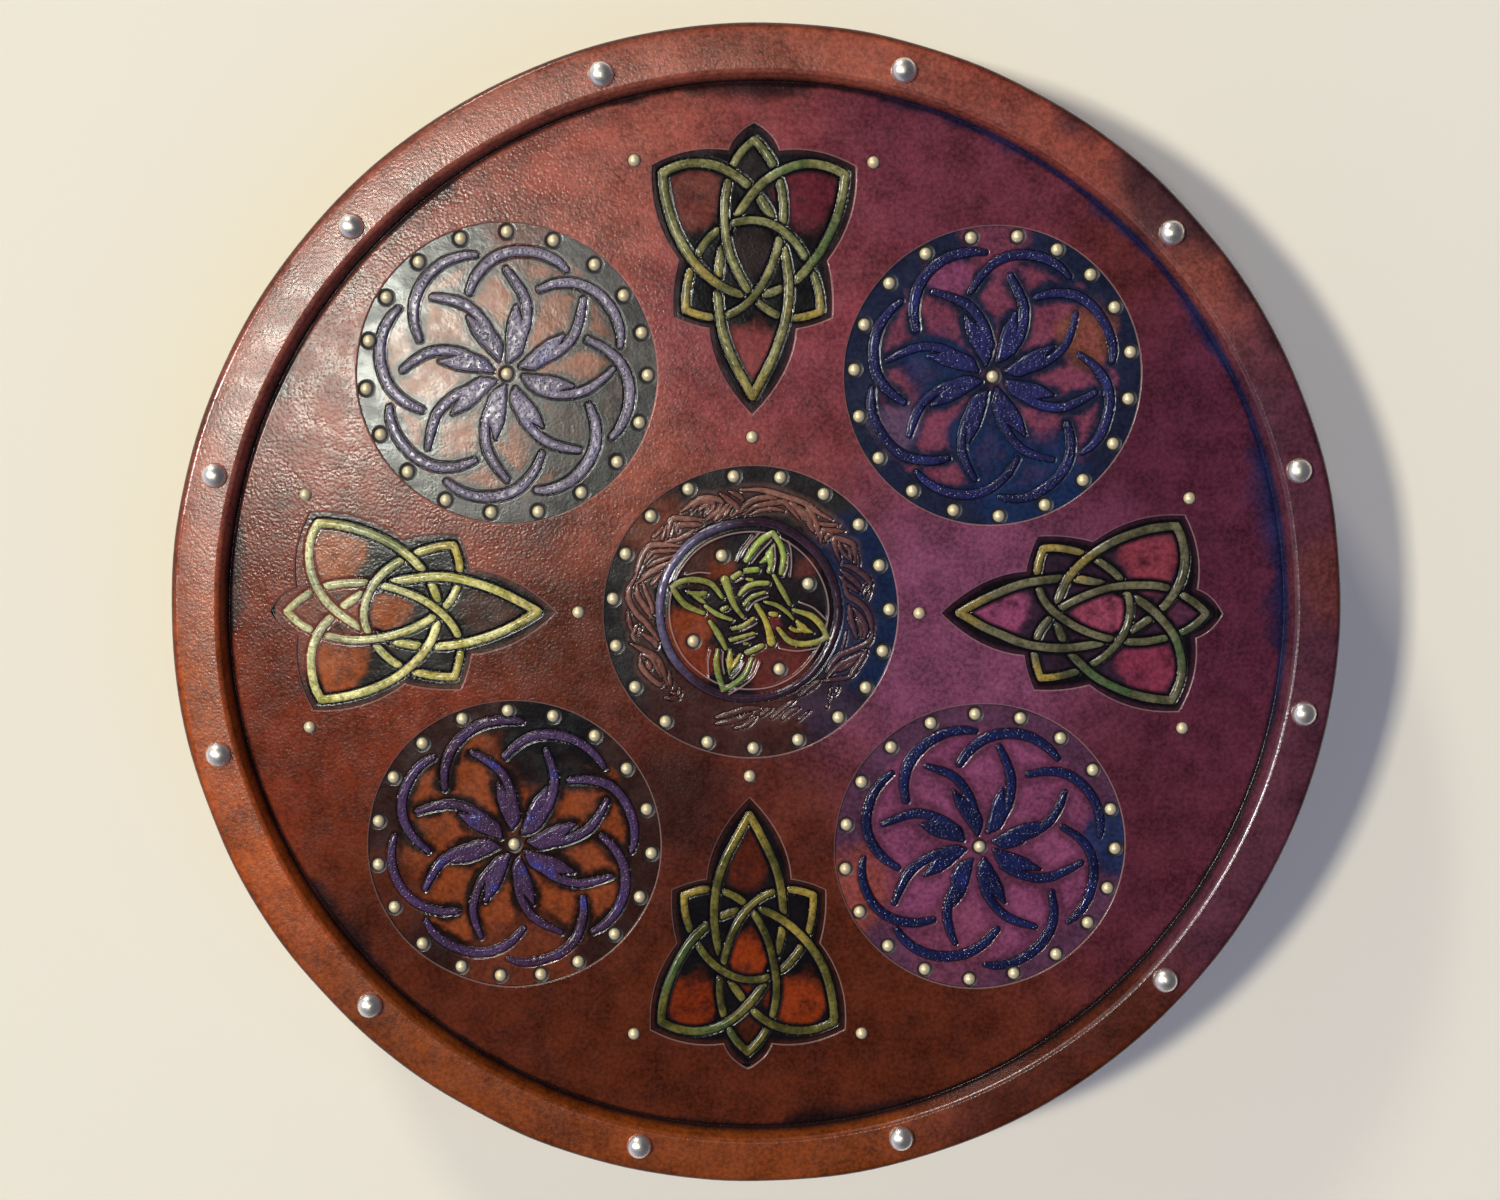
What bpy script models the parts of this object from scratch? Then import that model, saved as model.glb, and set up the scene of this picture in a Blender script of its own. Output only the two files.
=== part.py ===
"""A targe: a round wooden shield faced with one carved and dyed hide.

The shield lies face up on the two loops of its back, which are of equal depth.
Metres, +Z up; the origin is under the middle of the board, on the ground.
Motif outlines are drawn in millimetres in the plane of the face, and MM turns
them into metres.
"""

import math
from math import cos, pi, radians, sin

import bmesh
import bpy
import numpy as np

MM = 0.001

# Driving dimensions, in metres.
SHIELD_RADIUS = 0.2540        # over the leather, 20 inches across
LOOP_DEPTH = 0.0600           # from the board's back to the ground
BOARD_THICKNESS = 0.0120      # two crossed plies
RING_RISE = 0.0070            # the ring that lifts the rim, above the board
RING_INNER_RADIUS = 0.2340
HIDE_THICKNESS = 0.0030
HIDE_EDGE_THICKNESS = 0.0034  # round the edge, where the hide bunches
TURNOVER_THICKNESS = 0.0025   # pared thinner where it is glued to the back
TURNOVER_WIDTH = 0.0320
FIT_GAP = 0.0003              # between pieces that touch
CARVE_DEPTH = 0.0009          # ground of the carving, below the face
TURN_STEPS = 40               # sides of the round outline

# Layout of the face.
PATTERN_DRIFT = (-4.0 * MM, 3.0 * MM)  # the pattern was laid a little off centre
ROUNDEL_RADIUS = 64.0                  # the rest of the layout is in millimetres
ROUNDEL_STEPS = 22
WHIRLS = {                             # centre of each, and its turn in degrees
    "upper_left": ((-105.2, 103.0), 0.0),
    "upper_right": ((103.6, 103.0), -8.5),
    "lower_left": ((-103.4, -103.2), -18.5),
    "lower_right": ((102.1, -104.4), -10.0),
}
KNOTS = {                              # reach from the middle, and turn in degrees
    "top": (137.5, 0.0),
    "left": (136.0, 90.0),
    "bottom": (133.5, 180.0),
    "right": (134.5, 270.0),
}

# Nails and tacks.
RIM_NAIL_REACH = 0.2415
RIM_NAIL_BEARINGS = (343.5, 14, 46, 74, 99.5, 131.5, 164.5, 192.5, 225, 256, 285, 314)
NAIL_HEAD_RADIUS = 0.0055
NAIL_HEAD_RISE = 0.0040
NAIL_SPIKE_LENGTH = 0.0130
TACK_HEAD_RADIUS = 0.0027
TACK_HEAD_RISE = 0.0021
TACK_SPIKE_LENGTH = 0.0100
SPIKE_WIDTH = 0.0016
SPIKE_HOLE_WIDTH = SPIKE_WIDTH + 2 * FIT_GAP

# Loops on the back. The forearm lies along X, with the hand at -X.
ARM_LOOP_X = 0.1120
ARM_LOOP_WIDTH = 0.0450
ARM_LOOP_THICKNESS = 0.0045
HAND_LOOP_X = -0.1080
HAND_LOOP_WIDTH = 0.0320
HAND_LOOP_THICKNESS = 0.0060
CLOUT_HEAD_RADIUS = 0.0050
CLOUT_HEAD_RISE = 0.0018
CLOUT_SPIKE_LENGTH = 0.0120

# Heights worked out from the above.
BACK_Z = LOOP_DEPTH
BOARD_TOP_Z = BACK_Z + BOARD_THICKNESS
RING_TOP_Z = BOARD_TOP_Z + RING_RISE
BOARD_RADIUS = SHIELD_RADIUS - HIDE_EDGE_THICKNESS - FIT_GAP
FACE_Z = BOARD_TOP_Z + FIT_GAP + HIDE_THICKNESS
RIM_Z = RING_TOP_Z + FIT_GAP + HIDE_THICKNESS


# ---------------------------------------------------------------- helpers

def clear_scene():
    """Remove every object of the open file."""
    for old in list(bpy.data.objects):
        bpy.data.objects.remove(old, do_unlink=True)


def new_collection(name):
    """Add a collection to the scene."""
    group = bpy.data.collections.new(name)
    bpy.context.scene.collection.children.link(group)
    return group


def new_material(name, colour, roughness, metallic=0.0):
    """Make a plain Principled material."""
    made = bpy.data.materials.new(name)
    made.use_nodes = True
    shader = made.node_tree.nodes["Principled BSDF"]
    shader.inputs["Base Color"].default_value = (*colour, 1.0)
    shader.inputs["Roughness"].default_value = roughness
    shader.inputs["Metallic"].default_value = metallic
    made.diffuse_color = (*colour, 1.0)
    return made


def add_object(name, data, group, finish=None, at=(0.0, 0.0, 0.0)):
    """Put mesh or curve data into a collection as a named object."""
    thing = bpy.data.objects.new(name, data)
    thing.location = at
    group.objects.link(thing)
    if finish is not None and not data.materials:
        data.materials.append(finish)
    return thing


def hide_helper(thing):
    """Mark a cutter or guide, which is no part of the object."""
    thing.hide_render = True
    thing.display_type = "WIRE"


def freeze(thing):
    """Replace an object's modifiers or curve by their resulting mesh."""
    bpy.context.view_layer.update()
    graph = bpy.context.evaluated_depsgraph_get()
    mesh = bpy.data.meshes.new_from_object(thing.evaluated_get(graph))
    mesh.transform(thing.matrix_world)
    bpy.data.objects.remove(thing, do_unlink=True)
    return mesh


def turned_mesh(name, profile, steps, group):
    """Screw a profile of (radius, height) points about Z.

    The profile runs down the outer side. Ends that aren't on the axis are
    closed with one flat face each.
    """
    outline = bpy.data.meshes.new(name)
    points = [(radius, 0.0, height) for radius, height in profile]
    outline.from_pydata(points, [(i, i + 1) for i in range(len(points) - 1)], [])
    thing = add_object(name, outline, group)
    screw = thing.modifiers.new("turn", "SCREW")
    screw.axis = "Z"
    screw.angle = 2 * pi
    screw.steps = steps
    screw.render_steps = steps
    screw.use_merge_vertices = True
    screw.merge_threshold = 0.00001
    mesh = freeze(thing)
    shape = bmesh.new()
    shape.from_mesh(mesh)
    open_edges = [edge for edge in shape.edges if edge.is_boundary]
    bmesh.ops.holes_fill(shape, edges=open_edges, sides=0)
    bmesh.ops.recalc_face_normals(shape, faces=shape.faces)
    shape.to_mesh(mesh)
    shape.free()
    mesh.name = name
    return mesh


def smooth(mesh, angle=35.0):
    """Shade a round piece smooth, with sharp edges left sharp."""
    mesh.shade_smooth()
    mesh.set_sharp_from_angle(angle=radians(angle))


def cut(thing, cutter):
    """Cut one object by another with an exact Boolean."""
    boolean = thing.modifiers.new("cut_" + cutter.name, "BOOLEAN")
    boolean.operation = "DIFFERENCE"
    boolean.solver = "EXACT"
    boolean.object = cutter


# ---------------------------------------------------------------- drawing in the plane

def bezier(controls, count):
    """Sample a Bezier curve of any degree at count points."""
    controls = np.array(controls, float)
    degree = len(controls) - 1
    t = np.linspace(0.0, 1.0, count)[:, None]
    return sum(math.comb(degree, i) * t**i * (1 - t)**(degree - i) * controls[i]
               for i in range(degree + 1))


def bend_through(start, middle, end, count):
    """Sample a shallow curve through three points."""
    start, middle, end = (np.array(point, float) for point in (start, middle, end))
    return bezier((start, 2 * middle - (start + end) / 2, end), count)


def placed(points, turn=0.0, at=(0.0, 0.0)):
    """Turn points anticlockwise by degrees, then move them."""
    c, s = cos(radians(turn)), sin(radians(turn))
    points = np.array(points, float)
    return points @ np.array([[c, s], [-s, c]]) + np.array(at)


def circle(radius, count):
    """Points round a circle, anticlockwise."""
    return [(radius * cos(2 * pi * i / count), radius * sin(2 * pi * i / count))
            for i in range(count)]


def simplified(line, tolerance=1.2):
    """Leave out the points that a coarser polyline passes close to."""
    chord = line[-1] - line[0]
    away = line - line[0]
    offsets = abs(chord[0] * away[:, 1] - chord[1] * away[:, 0]) / np.linalg.norm(chord)
    far = offsets.argmax()
    if offsets[far] < tolerance:
        return line[[0, -1]]
    return np.vstack((simplified(line[:far + 1])[:-1], simplified(line[far:])))


def ribbon(line, half_width):
    """Outline of a strand along a polyline, with mitred corners."""
    along = np.diff(line, axis=0)
    along /= np.linalg.norm(along, axis=1)[:, None]
    across = np.column_stack((-along[:, 1], along[:, 0]))
    before = np.vstack((across[:1], across))
    after = np.vstack((across, across[-1:]))
    mitre = (before + after) / (1 + (before * after).sum(axis=1))[:, None]
    return np.vstack((line - mitre * half_width, (line + mitre * half_width)[::-1]))


# ---------------------------------------------------------------- motifs, in millimetres

# The knot, its outer tip up. Two three-cornered figures are woven together:
# the clefts and the cradle make the large one, the spans and the bow the small.
MIRROR = np.array((-1.0, 1.0))
CLEFT = np.array(((-38.6, 50.8), (0.0, 74.2), (31.5, 7.0), (15.5, -16.0), (0.0, -43.5)))
CRADLE = np.array(((-38.6, 50.8), (-38.0, 12.0), (0.0, -34.0), (38.0, 12.0), (38.6, 50.8)))
SPAN = np.array(((0.0, 65.0), (-25.5, 43.0), (-9.5, 1.0), (4.0, -18.0), (28.6, -7.0)))
BOW = np.array(((-28.6, -7.0), (-31.0, 22.0), (-4.0, 56.0), (29.0, 24.0), (28.6, -7.0)))
FIGURES = (                   # each a closed loop: its strands follow on at the corners
    {"right_cleft": CLEFT, "left_cleft": (CLEFT * MIRROR)[::-1], "cradle": CRADLE[::-1]},
    {"falling_span": SPAN, "bow": BOW[::-1], "rising_span": (SPAN * MIRROR)[::-1]},
)
PASSES_OVER = {
    "right_cleft": ("cradle", "falling_span"),
    "left_cleft": ("right_cleft", "rising_span"),
    "cradle": ("left_cleft", "bow"),
    "falling_span": ("left_cleft", "bow", "cradle"),
    "rising_span": ("falling_span", "cradle", "right_cleft"),
    "bow": ("rising_span", "right_cleft", "left_cleft"),
}
STRAND_HALF_WIDTH = 2.1
STRAND_BREAK = 3.9            # from a strand's middle to the end of one under it
STRAND_SAMPLES = 97
CORNER_SAMPLES = 10           # near a shared corner, where two strands meet and don't cross
KNOT_EDGE = (                 # right half, each span through three points
    ((0.0, 71.8), (6.8, 66.8), (10.5, 60.3)),
    ((10.5, 60.3), (27.0, 60.0), (43.0, 54.0)),
    ((43.0, 54.0), (40.8, 33.0), (31.2, 14.5)),
    ((31.2, 14.5), (33.4, 3.0), (33.6, -9.5)),
    ((33.6, -9.5), (26.0, -12.5), (18.3, -14.2)),
    ((18.3, -14.2), (13.2, -33.0), (0.0, -51.0)),
)
KNOT_TACKS = ((-50.8, 56.0), (50.8, 56.0), (0.0, -61.0))

# The whirl: a leaf with its tail, and the crescent outside it.
PETALS = 8
LEAF = ((2.0, 6.0), (9.6, 14.0), (11.2, 25.0), (7.9, 37.0), (-0.5, 46.5),
        (6.2, 28.0), (4.4, 28.5), (0.9, 16.5))
CRESCENT = ((-15.8, 35.2), (-9.5, 50.5), (12.0, 60.5), (27.0, 45.0))
CRESCENT_HALF_WIDTH = 2.2
CRESCENT_SAMPLES = 4

# The middle roundel: a hoop round four pointed loops, bound by bars and bands.
HOOP_RADII = (36.8, 41.4)
HOOP_STEPS = 18
LOOP = ((-1.9, 22.0), (0.4, 28.5), (9.2, 34.3), (15.0, 25.0), (13.4, 16.0),
        (10.6, 16.6), (11.8, 25.0), (8.7, 30.2), (3.2, 27.0), (1.0, 22.0))
LOOP_STEP = -92.0
BARS = (((-12.0, 14.0), (-3.3, -1.5)), ((10.6, 14.0), (16.6, 4.5)),
        ((2.6, 1.6), (9.6, -13.5)), ((-16.8, -4.5), (-11.0, -14.5)))
BANDS = (((-5.0, 9.5), (8.0, 12.5)), ((-2.0, 4.0), (5.5, 8.0)),
         ((-7.5, -7.5), (1.0, -3.5)), ((-8.0, -12.5), (4.0, -9.0)))
BAR_HALF_WIDTH = 1.3
INNER_TACK_REACH = 28.0
INNER_TACK_BEARING = -27.0


def knot_pieces():
    """Strand pieces of one knot, broken where they dive under another."""
    lines = {name: bezier(controls, STRAND_SAMPLES)
             for figure in FIGURES for name, controls in figure.items()}
    pieces = []
    for figure in FIGURES:
        shown = []
        for name in figure:
            clear = np.ones(STRAND_SAMPLES, bool)
            for upper, lowers in PASSES_OVER.items():
                if name in lowers:
                    other = lines[upper][CORNER_SAMPLES:-CORNER_SAMPLES]
                    spans = np.linalg.norm(lines[name][:, None] - other[None], axis=2)
                    clear &= spans.min(axis=1) > STRAND_BREAK
            shown.append(clear[:-1])
        shown = np.concatenate(shown)
        loop = np.vstack([lines[name][:-1] for name in figure])
        first = np.flatnonzero(~shown)[0]
        shown, loop = np.roll(shown, -first), np.roll(loop, -first, axis=0)
        places = np.flatnonzero(shown)
        runs = np.split(places, np.flatnonzero(np.diff(places) > 1) + 1)
        pieces += [loop[run] for run in runs if len(run) > 2]
    return pieces


def knot_outlines(turn, at):
    """The knot's ground, and its strands as islands in it."""
    half = np.vstack([bend_through(*span, 3)[:-1] for span in KNOT_EDGE])
    edge = np.vstack((half, KNOT_EDGE[-1][-1:], (half * MIRROR)[:0:-1]))
    strands = [ribbon(simplified(piece), STRAND_HALF_WIDTH) for piece in knot_pieces()]
    return [placed(outline, turn, at) for outline in [edge] + strands]


def whirl_outlines(turn, at):
    """A round ground with eight leaves inside eight crescents."""
    outlines = [circle(ROUNDEL_RADIUS, ROUNDEL_STEPS)]
    crescent = ribbon(bezier(CRESCENT, CRESCENT_SAMPLES), CRESCENT_HALF_WIDTH)
    for petal in range(PETALS):
        for shape in (LEAF, crescent):
            outlines.append(placed(shape, turn - petal * 360 / PETALS))
    return [placed(outline, 0.0, at) for outline in outlines]


def middle_outlines(at):
    """A round ground with a hoop and four bound loops."""
    outlines = [circle(ROUNDEL_RADIUS, ROUNDEL_STEPS)]
    outlines += [circle(radius, HOOP_STEPS) for radius in HOOP_RADII]
    outlines += [placed(LOOP, LOOP_STEP * quarter) for quarter in range(4)]
    outlines += [ribbon(np.array(line), BAR_HALF_WIDTH) for line in BARS + BANDS]
    return [placed(outline, 0.0, at) for outline in outlines]


def knot_centre(name):
    """Where a knot's own zero lies on the face, and how far the knot is turned."""
    reach, turn = KNOTS[name]
    return placed([(0.0, reach)], turn)[0], turn


def face_outlines():
    """Every outline cut into the face, in metres."""
    outlines = middle_outlines((0.0, 0.0))
    for centre, turn in WHIRLS.values():
        outlines += whirl_outlines(turn, centre)
    for name in KNOTS:
        centre, turn = knot_centre(name)
        outlines += knot_outlines(turn, centre)
    return [placed(outline * MM, 0.0, PATTERN_DRIFT) for outline in outlines]


def lone_tack_places():
    """Name and place of each tack that stands outside the rings of tacks."""
    places = {}
    for name in KNOTS:
        centre, turn = knot_centre(name)
        for number, spot in enumerate(placed(KNOT_TACKS, turn, centre), 1):
            places[f"tack_{name}_knot_{number}"] = spot
    for name, (centre, _) in WHIRLS.items():
        places[f"tack_{name}_whirl"] = np.array(centre)
    for number in range(4):
        bearing = radians(INNER_TACK_BEARING + 90 * number)
        spot = np.array((sin(bearing), cos(bearing))) * INNER_TACK_REACH
        places[f"tack_middle_{number + 1}"] = spot
    return {name: placed([spot * MM], 0.0, PATTERN_DRIFT)[0] for name, spot in places.items()}


# ---------------------------------------------------------------- cutters

def outline_cutter(outlines, low, high, group):
    """A solid from nested flat outlines: the inner ones are holes in it."""
    curve = bpy.data.curves.new("carving_cutter", "CURVE")
    curve.dimensions = "2D"
    curve.fill_mode = "BOTH"
    curve.extrude = (high - low) / 2
    for outline in outlines:
        spline = curve.splines.new("POLY")
        spline.points.add(len(outline) - 1)
        for point, (x, y) in zip(spline.points, outline):
            point.co = (x, y, 0.0, 1.0)
        spline.use_cyclic_u = True
    mesh = freeze(add_object("carving_cutter", curve, group, at=(0, 0, (low + high) / 2)))
    shape = bmesh.new()
    shape.from_mesh(mesh)
    bmesh.ops.remove_doubles(shape, verts=shape.verts, dist=0.000001)
    bmesh.ops.recalc_face_normals(shape, faces=shape.faces)
    shape.to_mesh(mesh)
    shape.free()
    cutter = add_object("carving_cutter", mesh, group)
    hide_helper(cutter)
    return cutter


def spike_cutter(name, places, width, low, high, group):
    """Square holes that the spikes of nails or tacks go down."""
    shape = bmesh.new()
    for x, y in places:
        made = bmesh.ops.create_cube(shape, size=1.0)
        bmesh.ops.scale(shape, vec=(width, width, high - low), verts=made["verts"])
        bmesh.ops.translate(shape, vec=(x, y, (low + high) / 2), verts=made["verts"])
    mesh = bpy.data.meshes.new(name)
    shape.to_mesh(mesh)
    shape.free()
    cutter = add_object(name, mesh, group)
    hide_helper(cutter)
    return cutter


# ---------------------------------------------------------------- pieces

def make_board(group, finish, holes):
    """The plywood disc, with the ring that raises the rim."""
    top_round = 0.003
    profile = (
        (RING_INNER_RADIUS, BOARD_TOP_Z),
        (RING_INNER_RADIUS, RING_TOP_Z),
        (BOARD_RADIUS - top_round, RING_TOP_Z),
        (BOARD_RADIUS, RING_TOP_Z - top_round),
        (BOARD_RADIUS, BACK_Z),
    )
    mesh = turned_mesh("board", profile, TURN_STEPS, group)
    smooth(mesh)
    board = add_object("board", mesh, group, finish)
    for cutter in holes:
        cut(board, cutter)


def make_cover(group, finish, cutters):
    """The one hide: face, raised rim, edge, and the part turned over the back."""
    outside = (
        (0.2282, FACE_Z),                             # groove at the foot of the rim
        (0.2298, FACE_Z - 0.0009),
        (0.2326, RIM_Z - 0.0014),
        (0.2350, RIM_Z),
        (SHIELD_RADIUS - 0.0045, RIM_Z),
        (SHIELD_RADIUS, RIM_Z - 0.0055),
        (SHIELD_RADIUS, BACK_Z + 0.0010),
        (SHIELD_RADIUS - 0.0024, BACK_Z - FIT_GAP - TURNOVER_THICKNESS),
        (SHIELD_RADIUS - TURNOVER_WIDTH, BACK_Z - FIT_GAP - TURNOVER_THICKNESS),
    )
    inside = (
        (SHIELD_RADIUS - TURNOVER_WIDTH, BACK_Z - FIT_GAP),
        (BOARD_RADIUS + FIT_GAP, BACK_Z - FIT_GAP),
        (BOARD_RADIUS + FIT_GAP, RING_TOP_Z - 0.0026),
        (BOARD_RADIUS - 0.0026, RING_TOP_Z + FIT_GAP),
        (RING_INNER_RADIUS - FIT_GAP, RING_TOP_Z + FIT_GAP),
        (RING_INNER_RADIUS - FIT_GAP, BOARD_TOP_Z + FIT_GAP),
    )
    mesh = turned_mesh("leather_cover", outside + inside, TURN_STEPS, group)
    smooth(mesh)
    cover = add_object("leather_cover", mesh, group, finish)
    for cutter in cutters:
        cut(cover, cutter)


def nail_mesh(name, head_radius, head_rise, spike_length, sides, group):
    """A domed head with a square spike under it, its seat at Z = 0."""
    dome = [(head_radius * sin(pi / 4 * i), head_rise * cos(pi / 4 * i)) for i in range(3)]
    head = add_object(name, turned_mesh(name, dome, sides, group), group)
    spike = spike_cutter(name + "_spike", [(0.0, 0.0)], SPIKE_WIDTH,
                         -spike_length, head_rise / 2, group)
    boolean = head.modifiers.new("spike", "BOOLEAN")
    boolean.operation = "UNION"
    boolean.object = spike
    mesh = freeze(head)
    bpy.data.objects.remove(spike, do_unlink=True)
    smooth(mesh)
    return mesh


def make_rim_nails(group, finish, places):
    """Domed nails round the rim."""
    mesh = nail_mesh("rim_nail", NAIL_HEAD_RADIUS, NAIL_HEAD_RISE, NAIL_SPIKE_LENGTH, 8, group)
    for number, (x, y) in enumerate(places, 1):
        add_object(f"rim_nail_{number:02d}", mesh, group, finish, (x, y, RIM_Z + FIT_GAP))


def make_tacks(group, finish, places, sunk):
    """Small brass tacks: those in a roundel sit down on its carved ground."""
    mesh = nail_mesh("tack", TACK_HEAD_RADIUS, TACK_HEAD_RISE, TACK_SPIKE_LENGTH, 6, group)
    for name, (x, y) in places.items():
        seat = FACE_Z - CARVE_DEPTH if name in sunk else FACE_Z
        add_object(name, mesh, group, finish, (x, y, seat + FIT_GAP))


def loop_path(thickness, foot_end, foot_start, knee, flat):
    """The (y, z) middle line of a loop: two feet on the back, one flat bight."""
    foot_z = BACK_Z - FIT_GAP - thickness / 2
    flat_z = thickness / 2
    half = ((foot_end, foot_z), (foot_start, foot_z), (foot_start - 0.009, foot_z - 0.005),
            (knee, flat_z + 0.014), (knee - 0.006, flat_z + 0.004), (flat, flat_z))
    return [(-y, z) for y, z in half] + list(reversed(half))


def make_loop(name, path, x, width, thickness, group, finish, holes):
    """A band across the back: an open strip along a (y, z) path, thickened."""
    shape = bmesh.new()
    low = [shape.verts.new((x - width / 2, y, z)) for y, z in path]
    spine = [shape.edges.new(pair) for pair in zip(low, low[1:])]
    swept = bmesh.ops.extrude_edge_only(shape, edges=spine)["geom"]
    moved = [item for item in swept if isinstance(item, bmesh.types.BMVert)]
    bmesh.ops.translate(shape, vec=(width, 0, 0), verts=moved)
    bmesh.ops.recalc_face_normals(shape, faces=shape.faces)
    mesh = bpy.data.meshes.new(name)
    shape.to_mesh(mesh)
    shape.free()
    band = add_object(name, mesh, group, finish)
    wall = band.modifiers.new("wall", "SOLIDIFY")
    wall.thickness = thickness
    wall.offset = 0.0
    wall.use_even_offset = True
    cut(band, holes)


def make_clouts(name, mesh, places, foot_thickness, group, finish):
    """Flat-headed nails that hold a loop's feet, driven in from behind."""
    seat = BACK_Z - FIT_GAP - foot_thickness - FIT_GAP
    for number, (x, y) in enumerate(places, 1):
        nail = add_object(f"{name}_{number}", mesh, group, finish, (x, y, seat))
        nail.rotation_euler = (pi, 0.0, 0.0)


# ---------------------------------------------------------------- the targe

clear_scene()
parts = new_collection("targe")
cutters = new_collection("cutters")

birch = new_material("birch_board", (0.42, 0.27, 0.13), 0.6)
hide = new_material("dyed_hide", (0.20, 0.035, 0.025), 0.42)
strap_leather = new_material("strap_leather", (0.09, 0.035, 0.015), 0.5)
nickel = new_material("nickel", (0.72, 0.70, 0.66), 0.2, 1.0)
brass = new_material("pale_brass", (0.80, 0.70, 0.42), 0.3, 1.0)
steel = new_material("blued_steel", (0.20, 0.20, 0.21), 0.4, 1.0)

rim_nail_places = [(RIM_NAIL_REACH * sin(radians(bearing)), RIM_NAIL_REACH * cos(radians(bearing)))
                   for bearing in RIM_NAIL_BEARINGS]
tack_places = lone_tack_places()
sunk_tacks = {name for name in tack_places if "knot" not in name}
arm_clouts = [(ARM_LOOP_X + side * 0.012, end * 0.085) for end in (-1, 1) for side in (-1, 1)]
hand_clouts = [(HAND_LOOP_X + side * 0.008, end * 0.079) for end in (-1, 1) for side in (-1, 1)]

carving = outline_cutter(face_outlines(), FACE_Z - CARVE_DEPTH, FACE_Z + 0.004, cutters)
rim_holes = spike_cutter("rim_nail_holes", rim_nail_places, SPIKE_HOLE_WIDTH,
                         RIM_Z - NAIL_SPIKE_LENGTH - FIT_GAP, RIM_Z + 0.002, cutters)
tack_holes = spike_cutter("tack_holes", tack_places.values(), SPIKE_HOLE_WIDTH,
                          FACE_Z - CARVE_DEPTH - TACK_SPIKE_LENGTH - FIT_GAP,
                          FACE_Z + 0.002, cutters)
clout_holes = spike_cutter("clout_holes", arm_clouts + hand_clouts, SPIKE_HOLE_WIDTH,
                           BACK_Z - 0.010, BACK_Z + CLOUT_SPIKE_LENGTH - 0.004, cutters)

make_board(parts, birch, (rim_holes, tack_holes, clout_holes))
make_cover(parts, hide, (carving, rim_holes, tack_holes))
make_rim_nails(parts, nickel, rim_nail_places)
make_tacks(parts, brass, tack_places, sunk_tacks)

make_loop("arm_loop", loop_path(ARM_LOOP_THICKNESS, 0.098, 0.072, 0.048, 0.032),
          ARM_LOOP_X, ARM_LOOP_WIDTH, ARM_LOOP_THICKNESS, parts, strap_leather, clout_holes)
make_loop("hand_loop", loop_path(HAND_LOOP_THICKNESS, 0.090, 0.068, 0.055, 0.042),
          HAND_LOOP_X, HAND_LOOP_WIDTH, HAND_LOOP_THICKNESS, parts, strap_leather, clout_holes)
clout = nail_mesh("clout", CLOUT_HEAD_RADIUS, CLOUT_HEAD_RISE, CLOUT_SPIKE_LENGTH, 6, parts)
make_clouts("arm_loop_nail", clout, arm_clouts, ARM_LOOP_THICKNESS, parts, steel)
make_clouts("hand_loop_nail", clout, hand_clouts, HAND_LOOP_THICKNESS, parts, steel)
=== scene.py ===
"""The looks of a targe: a round board faced with one hide, carved, punched and dyed by hand.

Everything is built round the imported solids, in metres, with the face of the shield up.
"""

import math

import bmesh
import bpy
import numpy as np
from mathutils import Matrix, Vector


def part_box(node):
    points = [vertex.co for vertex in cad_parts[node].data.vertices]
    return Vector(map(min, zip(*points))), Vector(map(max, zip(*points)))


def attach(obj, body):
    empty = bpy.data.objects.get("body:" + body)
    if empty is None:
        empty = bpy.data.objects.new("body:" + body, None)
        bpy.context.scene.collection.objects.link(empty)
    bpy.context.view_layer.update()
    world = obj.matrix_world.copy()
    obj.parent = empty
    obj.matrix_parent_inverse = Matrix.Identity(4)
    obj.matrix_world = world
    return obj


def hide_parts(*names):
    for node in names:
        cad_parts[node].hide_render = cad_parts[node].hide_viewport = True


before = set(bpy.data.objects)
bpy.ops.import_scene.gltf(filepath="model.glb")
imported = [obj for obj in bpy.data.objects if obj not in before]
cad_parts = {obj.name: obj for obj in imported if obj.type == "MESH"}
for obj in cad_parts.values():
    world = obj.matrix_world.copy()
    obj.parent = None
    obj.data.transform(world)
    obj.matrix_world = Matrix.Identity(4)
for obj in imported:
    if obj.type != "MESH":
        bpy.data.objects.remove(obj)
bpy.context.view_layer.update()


# ---------------------------------------------------------------- the hide
# One piece of thick vegetable-tanned leather. It was wetted, pulled down over the board
# and the ring that lifts the rim, and turned over onto the back, where it is glued.

hem_corner, rim_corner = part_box("leather_cover")
back_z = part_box("board")[0].z
shield_radius = rim_corner.x
rim_z = rim_corner.z
rim_rise = 0.0070             # from the face up to the flat of the rim
face_z = rim_z - rim_rise
hem_z = hem_corner.z
hide_thickness = 0.0030
hem_width = 0.0320
spin_steps = 240


def place_of(node):
    """The middle of a solid in the plane of the face, in millimetres."""
    low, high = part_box(node)
    return np.array(((low.x + high.x) / 2, (low.y + high.y) / 2)) * 1000


def turned(points, degrees, centre=(0.0, 0.0)):
    """Turn points in the plane anticlockwise about zero, then move them."""
    c, s = math.cos(math.radians(degrees)), math.sin(math.radians(degrees))
    return np.array(points, float) @ np.array([[c, s], [-s, c]]) + np.array(centre)


def bend_through(start, middle, end, count):
    """A shallow curve through three points."""
    start, middle, end = np.array(start), np.array(middle), np.array(end)
    pull = 2 * middle - (start + end) / 2
    t = np.linspace(0.0, 1.0, count)[:, None]
    return (1 - t) ** 2 * start + 2 * t * (1 - t) * pull + t**2 * end


def select_only(piece):
    """Deselect everything, then select one piece and make it active."""
    bpy.ops.object.select_all(action="DESELECT")
    piece.select_set(True)
    bpy.context.view_layer.objects.active = piece


def start_with(add_primitive, **options):
    """Add a primitive with nothing else selected, and give it back."""
    bpy.ops.object.select_all(action="DESELECT")
    add_primitive(**options)
    return bpy.context.object


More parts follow.
